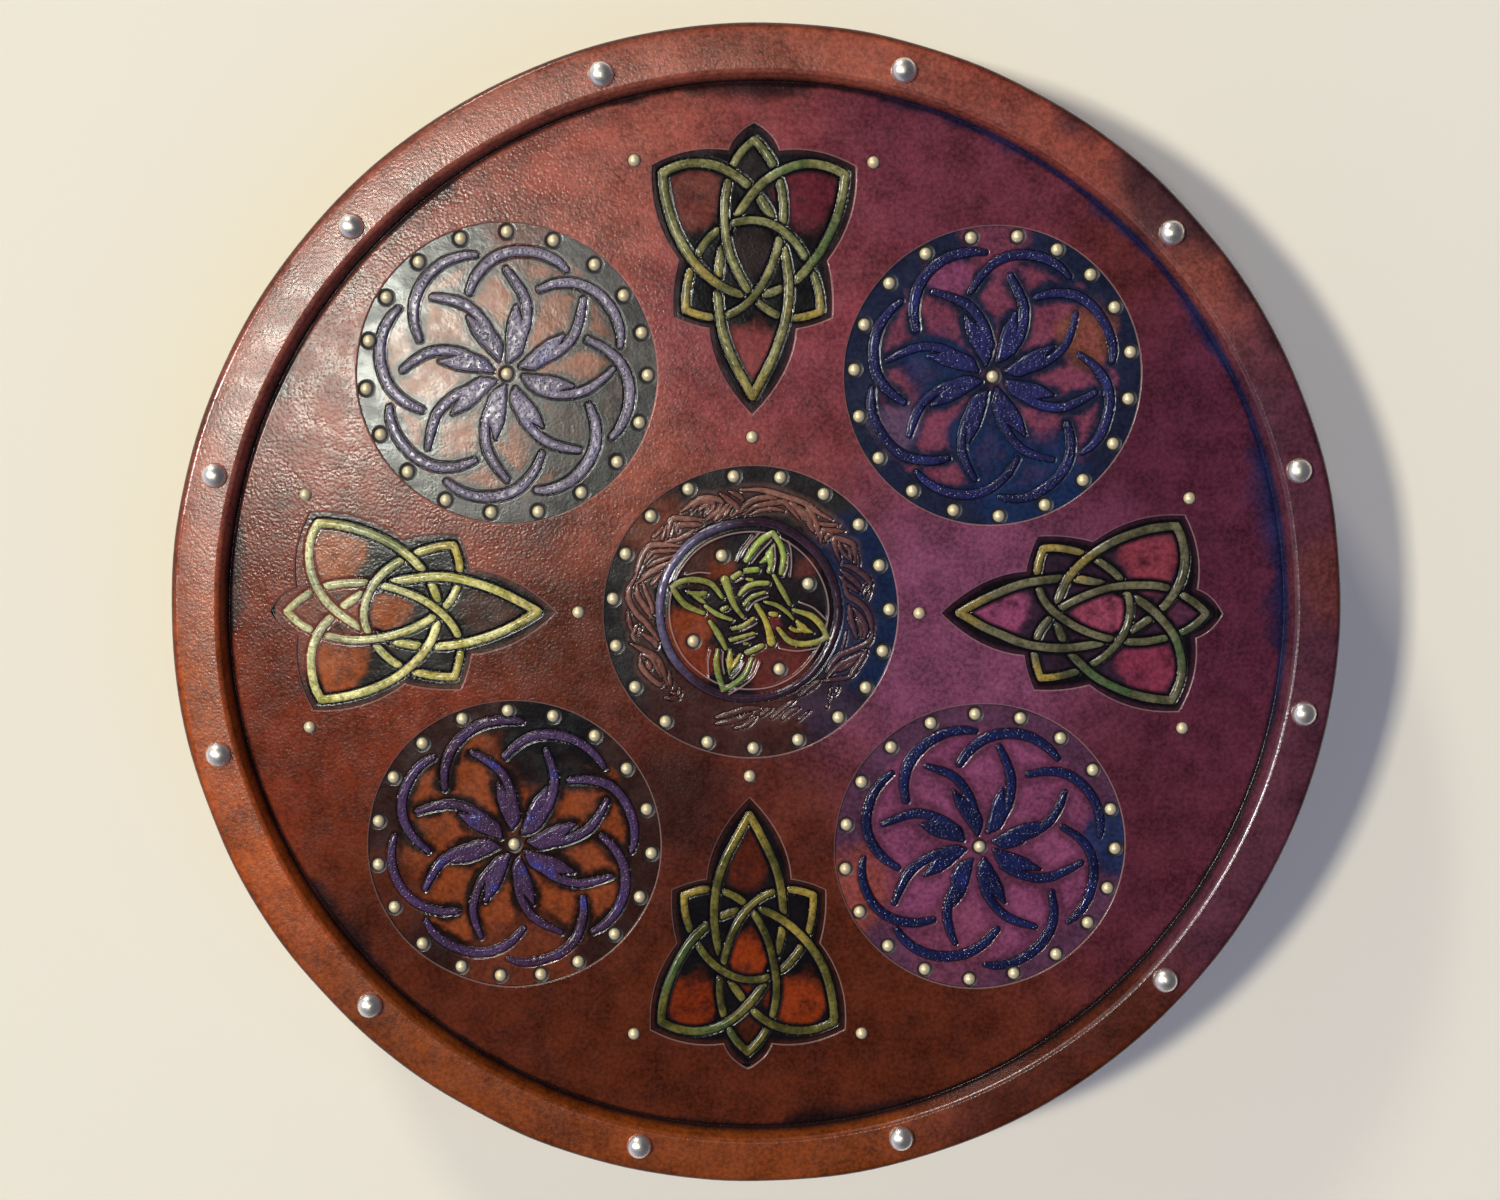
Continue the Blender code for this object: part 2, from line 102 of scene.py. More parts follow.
def edit_mode(choice="SELECT"):
    """Go into edit mode with everything selected, or nothing."""
    bpy.ops.object.mode_set(mode="EDIT")
    bpy.ops.mesh.select_all(action=choice)


def object_mode():
    """Leave edit mode."""
    bpy.ops.object.mode_set(mode="OBJECT")


def join(pieces):
    """Make one piece of several."""
    select_only(pieces[0])
    for piece in pieces[1:]:
        piece.select_set(True)
    bpy.ops.object.join()
    return bpy.context.object


def extrude_along(path):
    """Extrude what is selected from point to point."""
    for start, end in zip(path, path[1:]):
        step = {"value": [b - a for a, b in zip(start, end)]}
        bpy.ops.mesh.extrude_region_move(TRANSFORM_OT_translate=step)


def select_edges(piece, wanted):
    """In edit mode, select just the edges whose middle and faces pass a test."""
    bpy.ops.mesh.select_mode(type="EDGE")
    bpy.ops.mesh.select_all(action="DESELECT")
    shape = bmesh.from_edit_mesh(piece.data)
    for edge in shape.edges:
        if wanted(edge, (edge.verts[0].co + edge.verts[1].co) / 2):
            edge.select_set(True)
    bmesh.update_edit_mesh(piece.data)


def ring_at(radius, height):
    """A test for the edges that run round the shield at one radius and height."""
    def wanted(edge, _):
        low, high = edge.verts[0].co, edge.verts[1].co
        level = abs(low.z - height) < 0.0002 and abs(high.z - height) < 0.0002
        return level and max(abs(v.xy.length - radius) for v in (low, high)) < 0.0002
    return wanted


def draw_profile(piece_name, corners):
    """Draw a (radius, height) profile by extruding a vertex, and spin it about Z."""
    piece = start_with(bpy.ops.mesh.primitive_plane_add, size=0.01)
    piece.name = piece_name
    edit_mode()
    bpy.ops.mesh.merge(type="CENTER")
    bpy.ops.transform.translate(value=(corners[0][0], 0.0, corners[0][1]))
    extrude_along([(radius, 0.0, height) for radius, height in corners])
    edit_mode()
    bpy.ops.mesh.spin(steps=spin_steps, angle=2 * math.pi, center=(0, 0, 0), axis=(0, 0, 1))
    edit_mode()
    bpy.ops.mesh.remove_doubles(threshold=0.00001)
    return piece


def points_of(piece):
    """A mesh's points as an array."""
    points = np.empty(len(piece.data.vertices) * 3)
    piece.data.vertices.foreach_get("co", points)
    return points.reshape(-1, 3)


def move_points(piece, points):
    """Put an array of points back into a mesh."""
    piece.data.vertices.foreach_set("co", np.ascontiguousarray(points).ravel())
    piece.data.update()


def wander(points, seed, span):
    """A slow random drift from -1 to 1 over the plane, as a hand drifts from its line."""
    chance = np.random.default_rng(seed)
    drift = np.zeros(len(points))
    for _ in range(12):
        bearing, phase = chance.uniform(0, 2 * math.pi, 2)
        pitch = 2 * math.pi / (span * chance.uniform(0.6, 1.8))
        along = points[:, 0] * math.cos(bearing) + points[:, 1] * math.sin(bearing)
        drift += np.sin(along * pitch + phase)
    return drift / 5


groove_foot, groove_bed, wall_top, flat_end = 0.2282, 0.2300, 0.2338, 0.2508
inside_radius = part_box("board")[1].x + 0.0003
corners = [
    (groove_foot, face_z), (groove_bed, face_z - 0.0010), (wall_top, rim_z),
    (shield_radius, rim_z), (shield_radius, hem_z), (shield_radius - hem_width, hem_z),
    (shield_radius - hem_width, back_z - 0.0003), (inside_radius, back_z - 0.0003),
    (inside_radius, rim_z - hide_thickness), (wall_top, rim_z - hide_thickness),
    (wall_top, face_z - hide_thickness),
]
hide = draw_profile("leather_hide", corners)
for radius, height in (corners[0], corners[-1]):
    select_edges(hide, ring_at(radius, height))
    bpy.ops.mesh.edge_face_add()
edit_mode()
bpy.ops.mesh.normals_make_consistent(inside=False)

# The leather is round at every fold. The widest is the one over the edge of the ring.
folds = ((3, 0.0034, 6), (2, 0.0016, 5), (4, 0.0026, 4), (1, 0.0006, 3), (0, 0.0005, 2))
for corner, width, segments in folds:
    select_edges(hide, ring_at(*corners[corner]))
    bpy.ops.mesh.bevel(offset=width, segments=segments, affect="EDGES")


def crosses_rim(edge, middle):
    """A test for the edges that cross the flat of the rim."""
    low, high = edge.verts[0].co, edge.verts[1].co
    return abs(middle.z - rim_z) < 0.0001 and abs(low.xy.length - high.xy.length) > 0.003


select_edges(hide, crosses_rim)
bpy.ops.mesh.subdivide(number_cuts=3)
object_mode()

# The rim is a little crowned, and its edge and height drift as pulled leather does.
points = points_of(hide)
reach = np.hypot(points[:, 0], points[:, 1])
on_rim = np.clip((reach - 0.2290) / 0.0030, 0, 1)
on_top = np.clip((points[:, 2] - face_z) / rim_rise, 0, 1)
crown = np.clip(1 - ((reach - 0.2425) / 0.0090) ** 2, 0, 1)
points[:, 2] += on_rim * on_top * (0.00014 * crown + 0.00010 * wander(points, 3, 0.12) - 0.0001)
swell = 1 + on_rim * (0.00022 * wander(points, 5, 0.07)) / shield_radius - on_rim * 0.0008
points[:, :2] *= swell[:, None]
move_points(hide, points)


# Where the carving lies. The middle of each roundel and knot is read off its tacks.
roundel_radius = 64.0
whirl_turns = {"upper_left": 0.0, "upper_right": -8.5, "lower_left": -18.5, "lower_right": -10.0}
roundels = {name: place_of(f"tack_{name}_whirl") for name in whirl_turns}
middle_tacks = [f"tack_middle_{n}" for n in (1, 2, 3, 4)]
roundels["middle"] = np.mean([place_of(node) for node in middle_tacks], axis=0)
knot_turns = {"top": 0.0, "left": 90.0, "bottom": 180.0, "right": 270.0}
knots = {name: turned([(0.0, 61.0)], turn, place_of(f"tack_{name}_knot_3"))[0]
         for name, turn in knot_turns.items()}
knot_tacks = {f"tack_{name}_knot_{n}": place_of(f"tack_{name}_knot_{n}")
              for name in knot_turns for n in (1, 2, 3)}

# The right half of a knot's outline, tip up; each span bends through three points.
knot_half = (
    ((0, 71.8), (6.8, 66.8), (10.5, 60.3)), ((10.5, 60.3), (27, 60), (43, 54)),
    ((43, 54), (40.8, 33), (31.2, 14.5)), ((31.2, 14.5), (33.4, 3), (33.6, -9.5)),
    ((33.6, -9.5), (26, -12.5), (18.3, -14.2)), ((18.3, -14.2), (13.2, -33), (0, -51)),
)
half = np.vstack([bend_through(*span, 9)[:-1] for span in knot_half] + [[(0.0, -51.0)]])
knot_outline = np.vstack((half, (half * (-1, 1))[-2:0:-1]))

pocket_depth, tack_pit_depth = 0.0014, 0.0005
above_face = 0.0030           # how far a plug stands out of the hide


def pocket_cutter(outline, depth):
    """A plug to cut a pocket with: a filled ring pushed to the outline, then extruded."""
    plug = start_with(bpy.ops.mesh.primitive_circle_add, vertices=len(outline), radius=1.0,
                      fill_type="NGON")
    move_points(plug, np.column_stack((outline / 1000, np.full(len(outline), face_z - depth))))
    edit_mode()
    extrude_along(((0, 0, 0), (0, 0, depth + above_face)))
    edit_mode()
    bpy.ops.mesh.normals_make_consistent(inside=False)
    object_mode()
    return plug


def ring(radius, count, centre=(0.0, 0.0)):
    """Points round a circle, anticlockwise."""
    bearing = np.linspace(0, 2 * math.pi, count, endpoint=False)
    return np.column_stack((np.cos(bearing), np.sin(bearing))) * radius + np.array(centre)


pockets = []
for seed, centre in enumerate(roundels.values()):
    outline = ring(roundel_radius, 144)
    outline *= 1 + 0.004 * wander(outline, 20 + seed, 60.0)[:, None]
    pockets.append(pocket_cutter(outline + centre, pocket_depth))
for name, centre in knots.items():
    outline = turned(knot_outline, knot_turns[name], centre)
    pockets.append(pocket_cutter(outline, pocket_depth))
for centre in knot_tacks.values():
    pockets.append(pocket_cutter(ring(3.0, 24, centre), tack_pit_depth))
plugs = join(pockets)

select_only(hide)
sink = hide.modifiers.new("pockets", "BOOLEAN")
sink.operation = "DIFFERENCE"
sink.solver = "EXACT"
sink.object = plugs
bpy.ops.object.modifier_apply(modifier="pockets")
bpy.data.objects.remove(plugs, do_unlink=True)


def is_lip(edge, middle):
    """A test for the upper edge of a pocket: one flat face beside one upright face."""
    if abs(middle.z - face_z) > 0.00002 or len(edge.link_faces) != 2:
        return False
    return sorted(abs(face.normal.z) > 0.9 for face in edge.link_faces) == [False, True]


def not_beside_tack(middle):
    """A test for the places on the field that are clear of the knots' tacks."""
    gaps = [math.hypot(middle.x * 1000 - x, middle.y * 1000 - y) for x, y in knot_tacks.values()]
    return middle.xy.length < 0.227 and min(gaps) > 5.0


edit_mode()
select_edges(hide, lambda edge, middle: is_lip(edge, middle) and not_beside_tack(middle))
bpy.ops.mesh.bevel(offset=0.0009, segments=3, affect="EDGES", loop_slide=False)
object_mode()
bpy.ops.object.shade_smooth_by_angle(angle=math.radians(40))
even = hide.modifiers.new("flat_faces_stay_flat", "WEIGHTED_NORMAL")
even.weight = 100
even.keep_sharp = True
bpy.ops.object.modifier_apply(modifier="flat_faces_stay_flat")


def fill(socket, value):
    """Link a value into a socket, or set it; a colour of three numbers is opaque."""
    if isinstance(value, bpy.types.NodeSocket):
        socket.id_data.links.new(value, socket)
    elif socket.type == "RGBA":
        socket.default_value = (*value, 1.0)
    else:
        socket.default_value = value


def add_node(tree, kind, inputs=None, **options):
    """Add a node, choose its options, then fill its sockets with values or links."""
    made = tree.nodes.new("ShaderNode" + kind)
    for option, choice in options.items():
        setattr(made, option, choice)
    for socket, value in (inputs or {}).items():
        fill(made.inputs[socket], value)
    return made


def calculate(operation, first, second):
    """The result of one Math node, in the tree that a linked value belongs to."""
    tree = next(value.id_data for value in (first, second) if isinstance(value, bpy.types.NodeSocket))
    return add_node(tree, "Math", {0: first, 1: second}, operation=operation).outputs[0]


def times(first, second):
    """The product of two values."""
    return calculate("MULTIPLY", first, second)


def plus(first, second):
    """The sum of two values."""
    return calculate("ADD", first, second)


def place_on(tree):
    """Where each point of the surface lies, in metres."""
    return add_node(tree, "TexCoord").outputs["Object"]


def noise(place, scale, detail, roughness=0.5):
    """Soft random clouds; scale is in clouds to the metre."""
    return add_node(place.id_data, "TexNoise", {"Vector": place, "Scale": scale, "Detail": detail,
                                                "Roughness": roughness}).outputs[0]


def ramp(value, low, high, start=0.0, end=1.0):
    """A smooth step from start to end as a value goes from low to high."""
    inputs = {"Value": value, "From Min": low, "From Max": high, "To Min": start, "To Max": end}
    step = add_node(value.id_data, "MapRange", inputs, interpolation_type="SMOOTHSTEP")
    return step.outputs["Result"]


def blend(share, under, over):
    """Lay one colour over another."""
    mixed = add_node(share.id_data, "Mix", data_type="RGBA")
    for socket, value in ((0, share), (6, under), (7, over)):
        fill(mixed.inputs[socket], value)
    return mixed.outputs[2]


def new_group(name, inputs, outputs):
    """Start a node group: its tree, its input sockets and its output node."""
    kinds = {"value": "NodeSocketFloat", "colour": "NodeSocketColor", "place": "NodeSocketVector"}
    tree = bpy.data.node_groups.new(name, "ShaderNodeTree")
    for socket, kind in inputs.items():
        tree.interface.new_socket(socket, in_out="INPUT", socket_type=kinds[kind])
    for socket, kind in outputs.items():
        tree.interface.new_socket(socket, in_out="OUTPUT", socket_type=kinds[kind])
    return tree, tree.nodes.new("NodeGroupInput").outputs, tree.nodes.new("NodeGroupOutput").inputs


def use_group(tree, group, inputs):
    """Place a node group and give back its outputs."""
    return add_node(tree, "Group", inputs, node_tree=group).outputs


def level_length(vector):
    """The length of a vector as seen from straight above."""
    tree = vector.id_data
    flat = add_node(tree, "VectorMath", {0: vector, 1: (1, 1, 0)}, operation="MULTIPLY").outputs[0]
    return add_node(tree, "VectorMath", {0: flat}, operation="LENGTH").outputs["Value"]


# Dye wiped on with a rag: one soft-edged patch of colour round a point.
dye_patch, given, result = new_group(
    "dye_patch",
    {"Under": "colour", "Dye": "colour", "X": "value", "Y": "value", "Reach": "value",
     "Feather": "value", "Ragged": "value", "Strength": "value"},
    {"Colour": "colour"})
middle = add_node(dye_patch, "CombineXYZ", {"X": given["X"], "Y": given["Y"]}).outputs[0]
away = add_node(dye_patch, "VectorMath", {0: place_on(dye_patch), 1: middle},
                operation="SUBTRACT").outputs[0]
pull = calculate("SUBTRACT", noise(away, 38, 5, 0.62), 0.5)
edge = plus(level_length(away), times(pull, given["Ragged"]))
limit = plus(given["Reach"], given["Feather"])
share = ramp(edge, given["Reach"], limit, given["Strength"], 0.0)
fill(result["Colour"], blend(share, given["Under"], given["Dye"]))


def wipe(tree, under, dye, x, y, reach, feather, strength=1.0, ragged=30.0):
    """Wipe dye over a colour, round a point; sizes in millimetres."""
    return use_group(tree, dye_patch, {
        "Under": under, "Dye": dye, "X": x / 1000, "Y": y / 1000, "Reach": reach / 1000,
        "Feather": feather / 1000, "Ragged": ragged / 1000, "Strength": strength})["Colour"]


def wipe_all(tree, colour, washes, centre=(0, 0)):
    """Wipe several dyes over a colour in turn, each at a place counted from the centre."""
    for dye, x, y, *rest in washes:
        colour = wipe(tree, colour, dye, centre[0] + x, centre[1] + y, *rest)
    return colour


# The dye takes unevenly: cloudy over centimetres, speckled over millimetres.
uneven_dye, given, result = new_group(
    "uneven_dye", {"Colour": "colour", "Clouds": "value", "Specks": "value"}, {"Colour": "colour"})
spot = place_on(uneven_dye)
clouds = ramp(noise(spot, 55, 6, 0.6), 0.3, 0.7, -1.0)
specks = ramp(noise(spot, 520, 3, 0.7), 0.3, 0.7, -1.0)
gain = plus(plus(times(clouds, given["Clouds"]), times(specks, given["Specks"])), 1.0)
scaled = add_node(uneven_dye, "VectorMath", {0: given["Colour"], "Scale": gain}, operation="SCALE")
fill(result["Colour"], scaled.outputs[0])


def dye_unevenly(colour, clouds, specks):
    """Let a colour take unevenly, by two shares of its strength."""
    shares = {"Colour": colour, "Clouds": clouds, "Specks": specks}
    return use_group(colour.id_data, uneven_dye, shares)["Colour"]


# The grain of the leather: pebbles about a millimetre wide, soft swells and fine creases.
leather_grain, given, result = new_group(
    "leather_grain", {"Pebbles": "value", "Creases": "value"},
    {"Height": "value", "Polish": "value"})
spot = place_on(leather_grain)
bent = add_node(leather_grain, "TexNoise", {"Vector": spot, "Scale": 300.0, "Detail": 2.0}).outputs[1]
wavy = add_node(leather_grain, "VectorMath", {0: bent, 1: (0.0012, 0.0012, 0.0012), 2: spot},
                operation="MULTIPLY_ADD").outputs[0]
pebbles = add_node(leather_grain, "TexVoronoi", {"Vector": wavy, "Scale": 860.0},
                   feature="SMOOTH_F1").outputs["Distance"]
swells = noise(spot, 90, 5, 0.6)
cracks = add_node(leather_grain, "TexVoronoi", {"Vector": wavy, "Scale": 120.0},
                  feature="DISTANCE_TO_EDGE").outputs["Distance"]
crease = times(ramp(cracks, 0.0, 0.05, -1.0, 0.0), ramp(swells, 0.52, 0.62))
height = plus(times(pebbles, times(given["Pebbles"], -1.0)), times(swells, 0.9))
height = plus(height, times(crease, given["Creases"]))
fill(result["Height"], height)
fill(result["Polish"], ramp(swells, 0.35, 0.65))


def new_finish(name, roughness, metallic=0.0, specular=0.5, coat=0.0, coat_roughness=0.3):
    """Start a material: its tree and its shader, with its plain values set."""
    made = bpy.data.materials.new(name)
    made.use_nodes = True
    shader = made.node_tree.nodes["Principled BSDF"]
    shader.inputs["Roughness"].default_value = roughness
    shader.inputs["Metallic"].default_value = metallic
    shader.inputs["Specular IOR Level"].default_value = specular
    shader.inputs["Coat Weight"].default_value = coat
    shader.inputs["Coat Roughness"].default_value = coat_roughness
    return made, made.node_tree, shader


def raise_surface(shader, height, depth):
    """Feed a height to a shader's normal; depth is the height of 1, in metres."""
    bump = add_node(shader.id_data, "Bump", {"Height": height, "Distance": depth})
    fill(shader.inputs["Normal"], bump.outputs["Normal"])


def finish_leather(shader, colour, grain, smooth, rough, depth, pit=None, dents=None):
    """The end of every leather: its colour, its grain of pebbles and creases, and its gloss.

    The floors of the tacks' pits are left dull. Punched dents add to the grain's height.
    """
    fill(shader.inputs["Base Color"], colour)
    grain = use_group(shader.id_data, leather_grain, dict(zip(("Pebbles", "Creases"), grain)))
    polish = ramp(grain["Polish"], 0.0, 1.0, smooth, rough)
    if pit is not None:
        polish = plus(polish, ramp(pit, -0.5, 0.3, 0.0, 0.3))
    fill(shader.inputs["Roughness"], polish)
    height = grain["Height"] if dents is None else plus(grain["Height"], dents)
    raise_surface(shader, height, depth)


russet, brick, crimson = (0.105, 0.021, 0.011), (0.270, 0.066, 0.036), (0.190, 0.036, 0.046)
magenta, burgundy, scarlet = (0.170, 0.046, 0.083), (0.082, 0.016, 0.029), (0.260, 0.054, 0.030)
chestnut, umber, walnut = (0.082, 0.016, 0.005), (0.030, 0.009, 0.006), (0.030, 0.012, 0.016)
amber, ochre = (0.350, 0.066, 0.008), (0.195, 0.040, 0.005)
# The pale raw edge colour is also a painted highlight on the cut lips; the ink is also painted shade
# in the cuts, the pits and the groove.
navy, ink, raw_edge_and_highlight = (0.008, 0.014, 0.050), (0.005, 0.004, 0.005), (0.46, 0.34, 0.28)

# Each dye is wiped on at x and y, out to a reach, fading over a feather, at some strength.
field_washes = (
    (brick, -110, 150, 80, 150), ((0.165, 0.026, 0.008), -190, -50, 50, 100),
    (crimson, 30, 150, 40, 90, 0.85), ((0.120, 0.024, 0.036), 92, 205, 30, 60, 0.9),
    ((0.330, 0.082, 0.050), -60, 192, 16, 50, 0.7), (burgundy, 235, 50, 75, 90),
    (magenta, 88, -5, 30, 80), (burgundy, 190, -100, 40, 70, 0.8), (chestnut, 0, -235, 90, 80),
    (chestnut, -150, -150, 30, 70, 0.9), ((0.085, 0.018, 0.007), -82, -12, 14, 40, 0.9),
    (umber, -38, -80, 6, 36, 0.9), (umber, -95, 45, 4, 26, 0.6),
)
rim_washes = [
    ((0.310, 0.085, 0.045), -170, 175, 80, 110), (amber, -240, -90, 60, 100),
    (ochre, -130, -215, 60, 60), (ochre, 0, -245, 60, 60),
    ((0.084, 0.021, 0.031), 242, -30, 130, 80), ((0.150, 0.034, 0.022), 252, 20, 6, 24, 0.8),
    (chestnut, 140, -205, 40, 50), (scarlet, 118, 214, 30, 40),
]
dark_stretch = ((136, 222), (160, 207), (180, 190), (197, 171), (212, 152), (225, 131))
rim_washes += [(walnut, x, y, 7, 13, 0.85) for x, y in dark_stretch]
rim_washes.append((walnut, 174, 184, 14, 26, 0.85))

hide_finish, tree, shader = new_finish("dyed_hide", 0.22, specular=0.28)
spot = place_on(tree)
reach, height = level_length(spot), add_node(tree, "SeparateXYZ", {0: spot}).outputs["Z"]
field = wipe_all(tree, russet, field_washes)
rim = wipe_all(tree, (0.285, 0.068, 0.034), rim_washes)
rim = blend(ramp(reach, flat_end, 0.2530, 0.0, 0.75), rim, umber)
colour = blend(ramp(reach, 0.2285, 0.2312), field, rim)

# Dark dye was worked into the groove: blue at the upper right, black elsewhere. The black in the
# crease and on the foot of the rim's wall is also painted shade.
groove_dye_and_shade = wipe(tree, ink, navy, 190, 120, 130, 60)
smears = noise(spot, 16, 5, 0.6)
inner_end = calculate("SUBTRACT", 0.2276, ramp(smears, 0.46, 0.70, 0.0, 0.014))
groove_ink_and_shade = times(ramp(reach, inner_end, 0.2296), ramp(reach, 0.2301, 0.2324, 1.0, 0.0))
colour = blend(times(groove_ink_and_shade, 0.94), colour, groove_dye_and_shade)
colour = dye_unevenly(colour, 0.30, 0.32)

# The cut lips of the carving are painted pale: partly rubbed leather, partly a painted highlight for
# the light they catch. Below them the cuts and the tacks' pits are painted black: partly ink, partly
# painted shade in these recesses.
inside_groove = ramp(reach, 0.2270, 0.2275, 1.0, 0.0)
for shallow, deep, strength, dye in ((0.00002, 0.00010, 0.28, raw_edge_and_highlight), (0.00035, 0.00060, 1, ink)):
    cut = times(ramp(height, face_z - shallow, face_z - deep), inside_groove)
    colour = blend(times(cut, strength), colour, dye)
finish_leather(shader, colour, (0.9, 0.10), 0.16, 0.22, 0.000065)
hide.data.materials.append(hide_finish)

# The flat of the rim is the same hide, burnished until it shines more.
rim_finish = hide_finish.copy()
rim_finish.name = "burnished_rim"
shader = rim_finish.node_tree.nodes["Principled BSDF"]
shader.inputs["Specular IOR Level"].default_value = 0.7
polish = shader.inputs["Roughness"].links[0].from_node
polish.inputs["To Min"].default_value, polish.inputs["To Max"].default_value = 0.22, 0.27
hide.data.materials.append(rim_finish)
on_rim = [wall_top - 0.0008 < face.center.xy.length < flat_end for face in hide.data.polygons]
hide.data.polygons.foreach_set("material_index", np.array(on_rim, int))

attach(hide, "root")
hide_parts("leather_cover")


# ---------------------------------------------------------------- the whirls
# Four roundels of eight petals inside eight crescents, left standing while the ground
# round them was beaten down. Petals are stippled and dyed violet, the ground darker.

skin_span = 140.0             # millimetres across the grid that a skin is cut from
carve_step = 0.5              # between the points of the carved skin
dug = 1.2                     # depth of the knife cut round a form
ground_depth = 0.85           # depth of the beaten ground
cut_width = 0.6               # from the foot of a form to the ground
hand_drift = 0.28             # how far a cut strays from the line drawn for it
pit_radius, pit_depth, pit_wall = 3.6, 0.25, 0.6      # the pits punched for the tacks
ridge_width, ridge_drop = 0.42, 0.25      # thin ridges stay a little below the face


def inside_stroke(points, line, widths):
    """How far points lie inside a stroke of changing half-width; negative outside it."""
    best = np.full(len(points), -99.0)
    for start, end, wide, narrow in zip(line, line[1:], widths, widths[1:]):
        along = end - start
        t = np.clip((points - start) @ along / (along @ along), 0, 1)
        gap = np.linalg.norm(points - start - t[:, None] * along, axis=1)
        best = np.maximum(best, wide + (narrow - wide) * t - gap)
    return best


def bezier(controls, count):
    """Points along a Bezier curve of any degree."""
    controls = np.array(controls, float)
    degree = len(controls) - 1
    t = np.linspace(0.0, 1.0, count)[:, None]
    return sum(math.comb(degree, i) * t**i * (1 - t) ** (degree - i) * controls[i]
               for i in range(degree + 1))


def smooth_line(points, count):
    """Points along a line that bends smoothly through all the points given."""
    points = np.array(points, float)
    points = np.vstack((2 * points[0] - points[1], points, 2 * points[-1] - points[-2]))
    t = np.linspace(0, len(points) - 3, count)
    start = np.minimum(t.astype(int), len(points) - 4)
    t = (t - start)[:, None]
    a, b, c, d = (points[start + step] for step in range(4))
    return b + t / 2 * (c - a + t * (2 * a - 5 * b + 4 * c - d + t * (3 * b - a - 3 * c + d)))


def widths_along(knots_of_width, count):
    """Half-widths along a stroke, from a few evenly spaced ones."""
    spots = np.linspace(0, 1, len(knots_of_width))
    return np.interp(np.linspace(0, 1, count), spots, knots_of_width)


def carve(name, centre, turn, keep, forms, pits, seed, step=carve_step):
    """A carved skin over one pocket: forms left standing, the ground cut down round them.

    keep gives the distance inside the pocket's outline. forms gives the distances inside
    the standing forms, the radii of their shoulders, and the distance to the nearest
    thin ridge, which a knife leaves between two cuts. All are of points in the carving's
    own millimetres, and the skin keeps them for its finish to read.
    """
    count = round(skin_span / step)
    skin = start_with(bpy.ops.mesh.primitive_grid_add, x_subdivisions=count, y_subdivisions=count,
                      size=skin_span / 1000, location=(*centre / 1000, face_z))
    skin.name = name
    bpy.ops.object.transform_apply()
    inside = keep(turned(points_of(skin)[:, :2] * 1000 - centre, -turn))
    edit_mode("DESELECT")
    object_mode()
    skin.data.vertices.foreach_set("select", inside < -step)
    bpy.ops.object.mode_set(mode="EDIT")
    bpy.ops.mesh.select_mode(type="VERT")
    bpy.ops.mesh.delete(type="VERT")
    object_mode()
    local = turned(points_of(skin)[:, :2] * 1000 - centre, -turn)

    def measure(places):
        drift = np.column_stack((wander(places, seed, 26.0), wander(places, seed + 1, 26.0)))
        depths, shoulders, ridges = forms(places + hand_drift * drift)
        nearest = depths.argmax(axis=0)
        return depths.max(axis=0), np.array(shoulders)[nearest], nearest, ridges

    # Points close to the foot of a form are drawn onto it, so that its line is clean.
    rise = measure(local)[0]
    nudge = 0.05
    slope = [measure(local + aside)[0] - rise for aside in ((nudge, 0), (0, nudge))]
    slope = np.column_stack(slope) / nudge
    close = (abs(rise) < 0.45 * step)[:, None]
    local = np.where(close, local - slope * rise[:, None], local)
    rise, shoulder, nearest, ridges = measure(local)
    ridge = np.exp(-((ridges / ridge_width) ** 2))

    rounded = np.sqrt(np.clip(1 - (1 - np.clip(rise / shoulder, 0, 1)) ** 2, 0, 1))
    top = dug - 0.10 * (1 - np.clip(shoulder / 1.6, 0, 1))
    ground = (dug - ground_depth) * np.clip(-rise / cut_width, 0, 1)
    ground += 0.010 * wander(local, seed + 2, 6.0) * np.clip(-rise - 0.4, 0, 1)
    ground += (dug - ridge_drop - ground) * ridge * np.clip(-rise / 0.3, 0, 1)
    height = np.where(rise > 0, top * rounded, ground) - dug
    height += 0.04 * wander(local, seed + 3, 5.0) * np.clip(rise, 0, 1)
    pit = np.full(len(local), -9.0)
    for place in pits:
        pit = np.maximum(pit, pit_radius - np.linalg.norm(local - place, axis=1))
    height -= pit_depth * np.clip(pit / pit_wall, 0, 1)
    flat = turned(local, turn, centre) / 1000
    move_points(skin, np.column_stack((flat, face_z + height / 1000)))
    bpy.ops.object.shade_smooth()
    chance = np.random.default_rng(seed + 4)
    tones = chance.uniform(0, 1, nearest.max() + 1)[nearest]
    for label, values in (("rise", rise), ("tone", tones), ("pit", pit), ("wall", keep(local)),
                          ("form", nearest.astype(float)), ("ridge", ridge)):
        skin.data.attributes.new(label, "FLOAT", "POINT").data.foreach_set("value", values)
    return skin


# A petal is a blade with a tail that runs on from its clockwise side; a crescent
# lies outside each tail. Centre lines and half-widths, in millimetres.
blade_line = ((1.6, 6.6), (4.0, 11.2), (4.7, 16.4), (4.3, 21.6), (4.6, 28.2))
blade_widths = (0.8, 3.4, 4.0, 2.9, 0.6)
tail_line = ((6.4, 12.5), (8.7, 19.5), (9.3, 26.5), (8.3, 33.0), (4.9, 39.3), (0.8, 44.8))
tail_widths = (1.5, 1.8, 1.9, 1.9, 1.7, 1.2)
crescent_line = ((-15.8, 35.2), (-12.2, 42.5), (-5.5, 49.3), (3.8, 52.6), (14.2, 52.1), (22.2, 48.7),
                 (26.4, 45.2))
crescent_widths = (1.4, 1.9, 2.1, 2.1, 2.0, 1.8, 1.2)
ring_tack_reach = 60.2
ring_tack_stride = 19.3       # degrees between seventeen of them; two more fill the gap left
ring_tack_starts = {"upper_left": 51, "upper_right": 81, "lower_left": 298, "lower_right": 16,
                    "middle": 1}


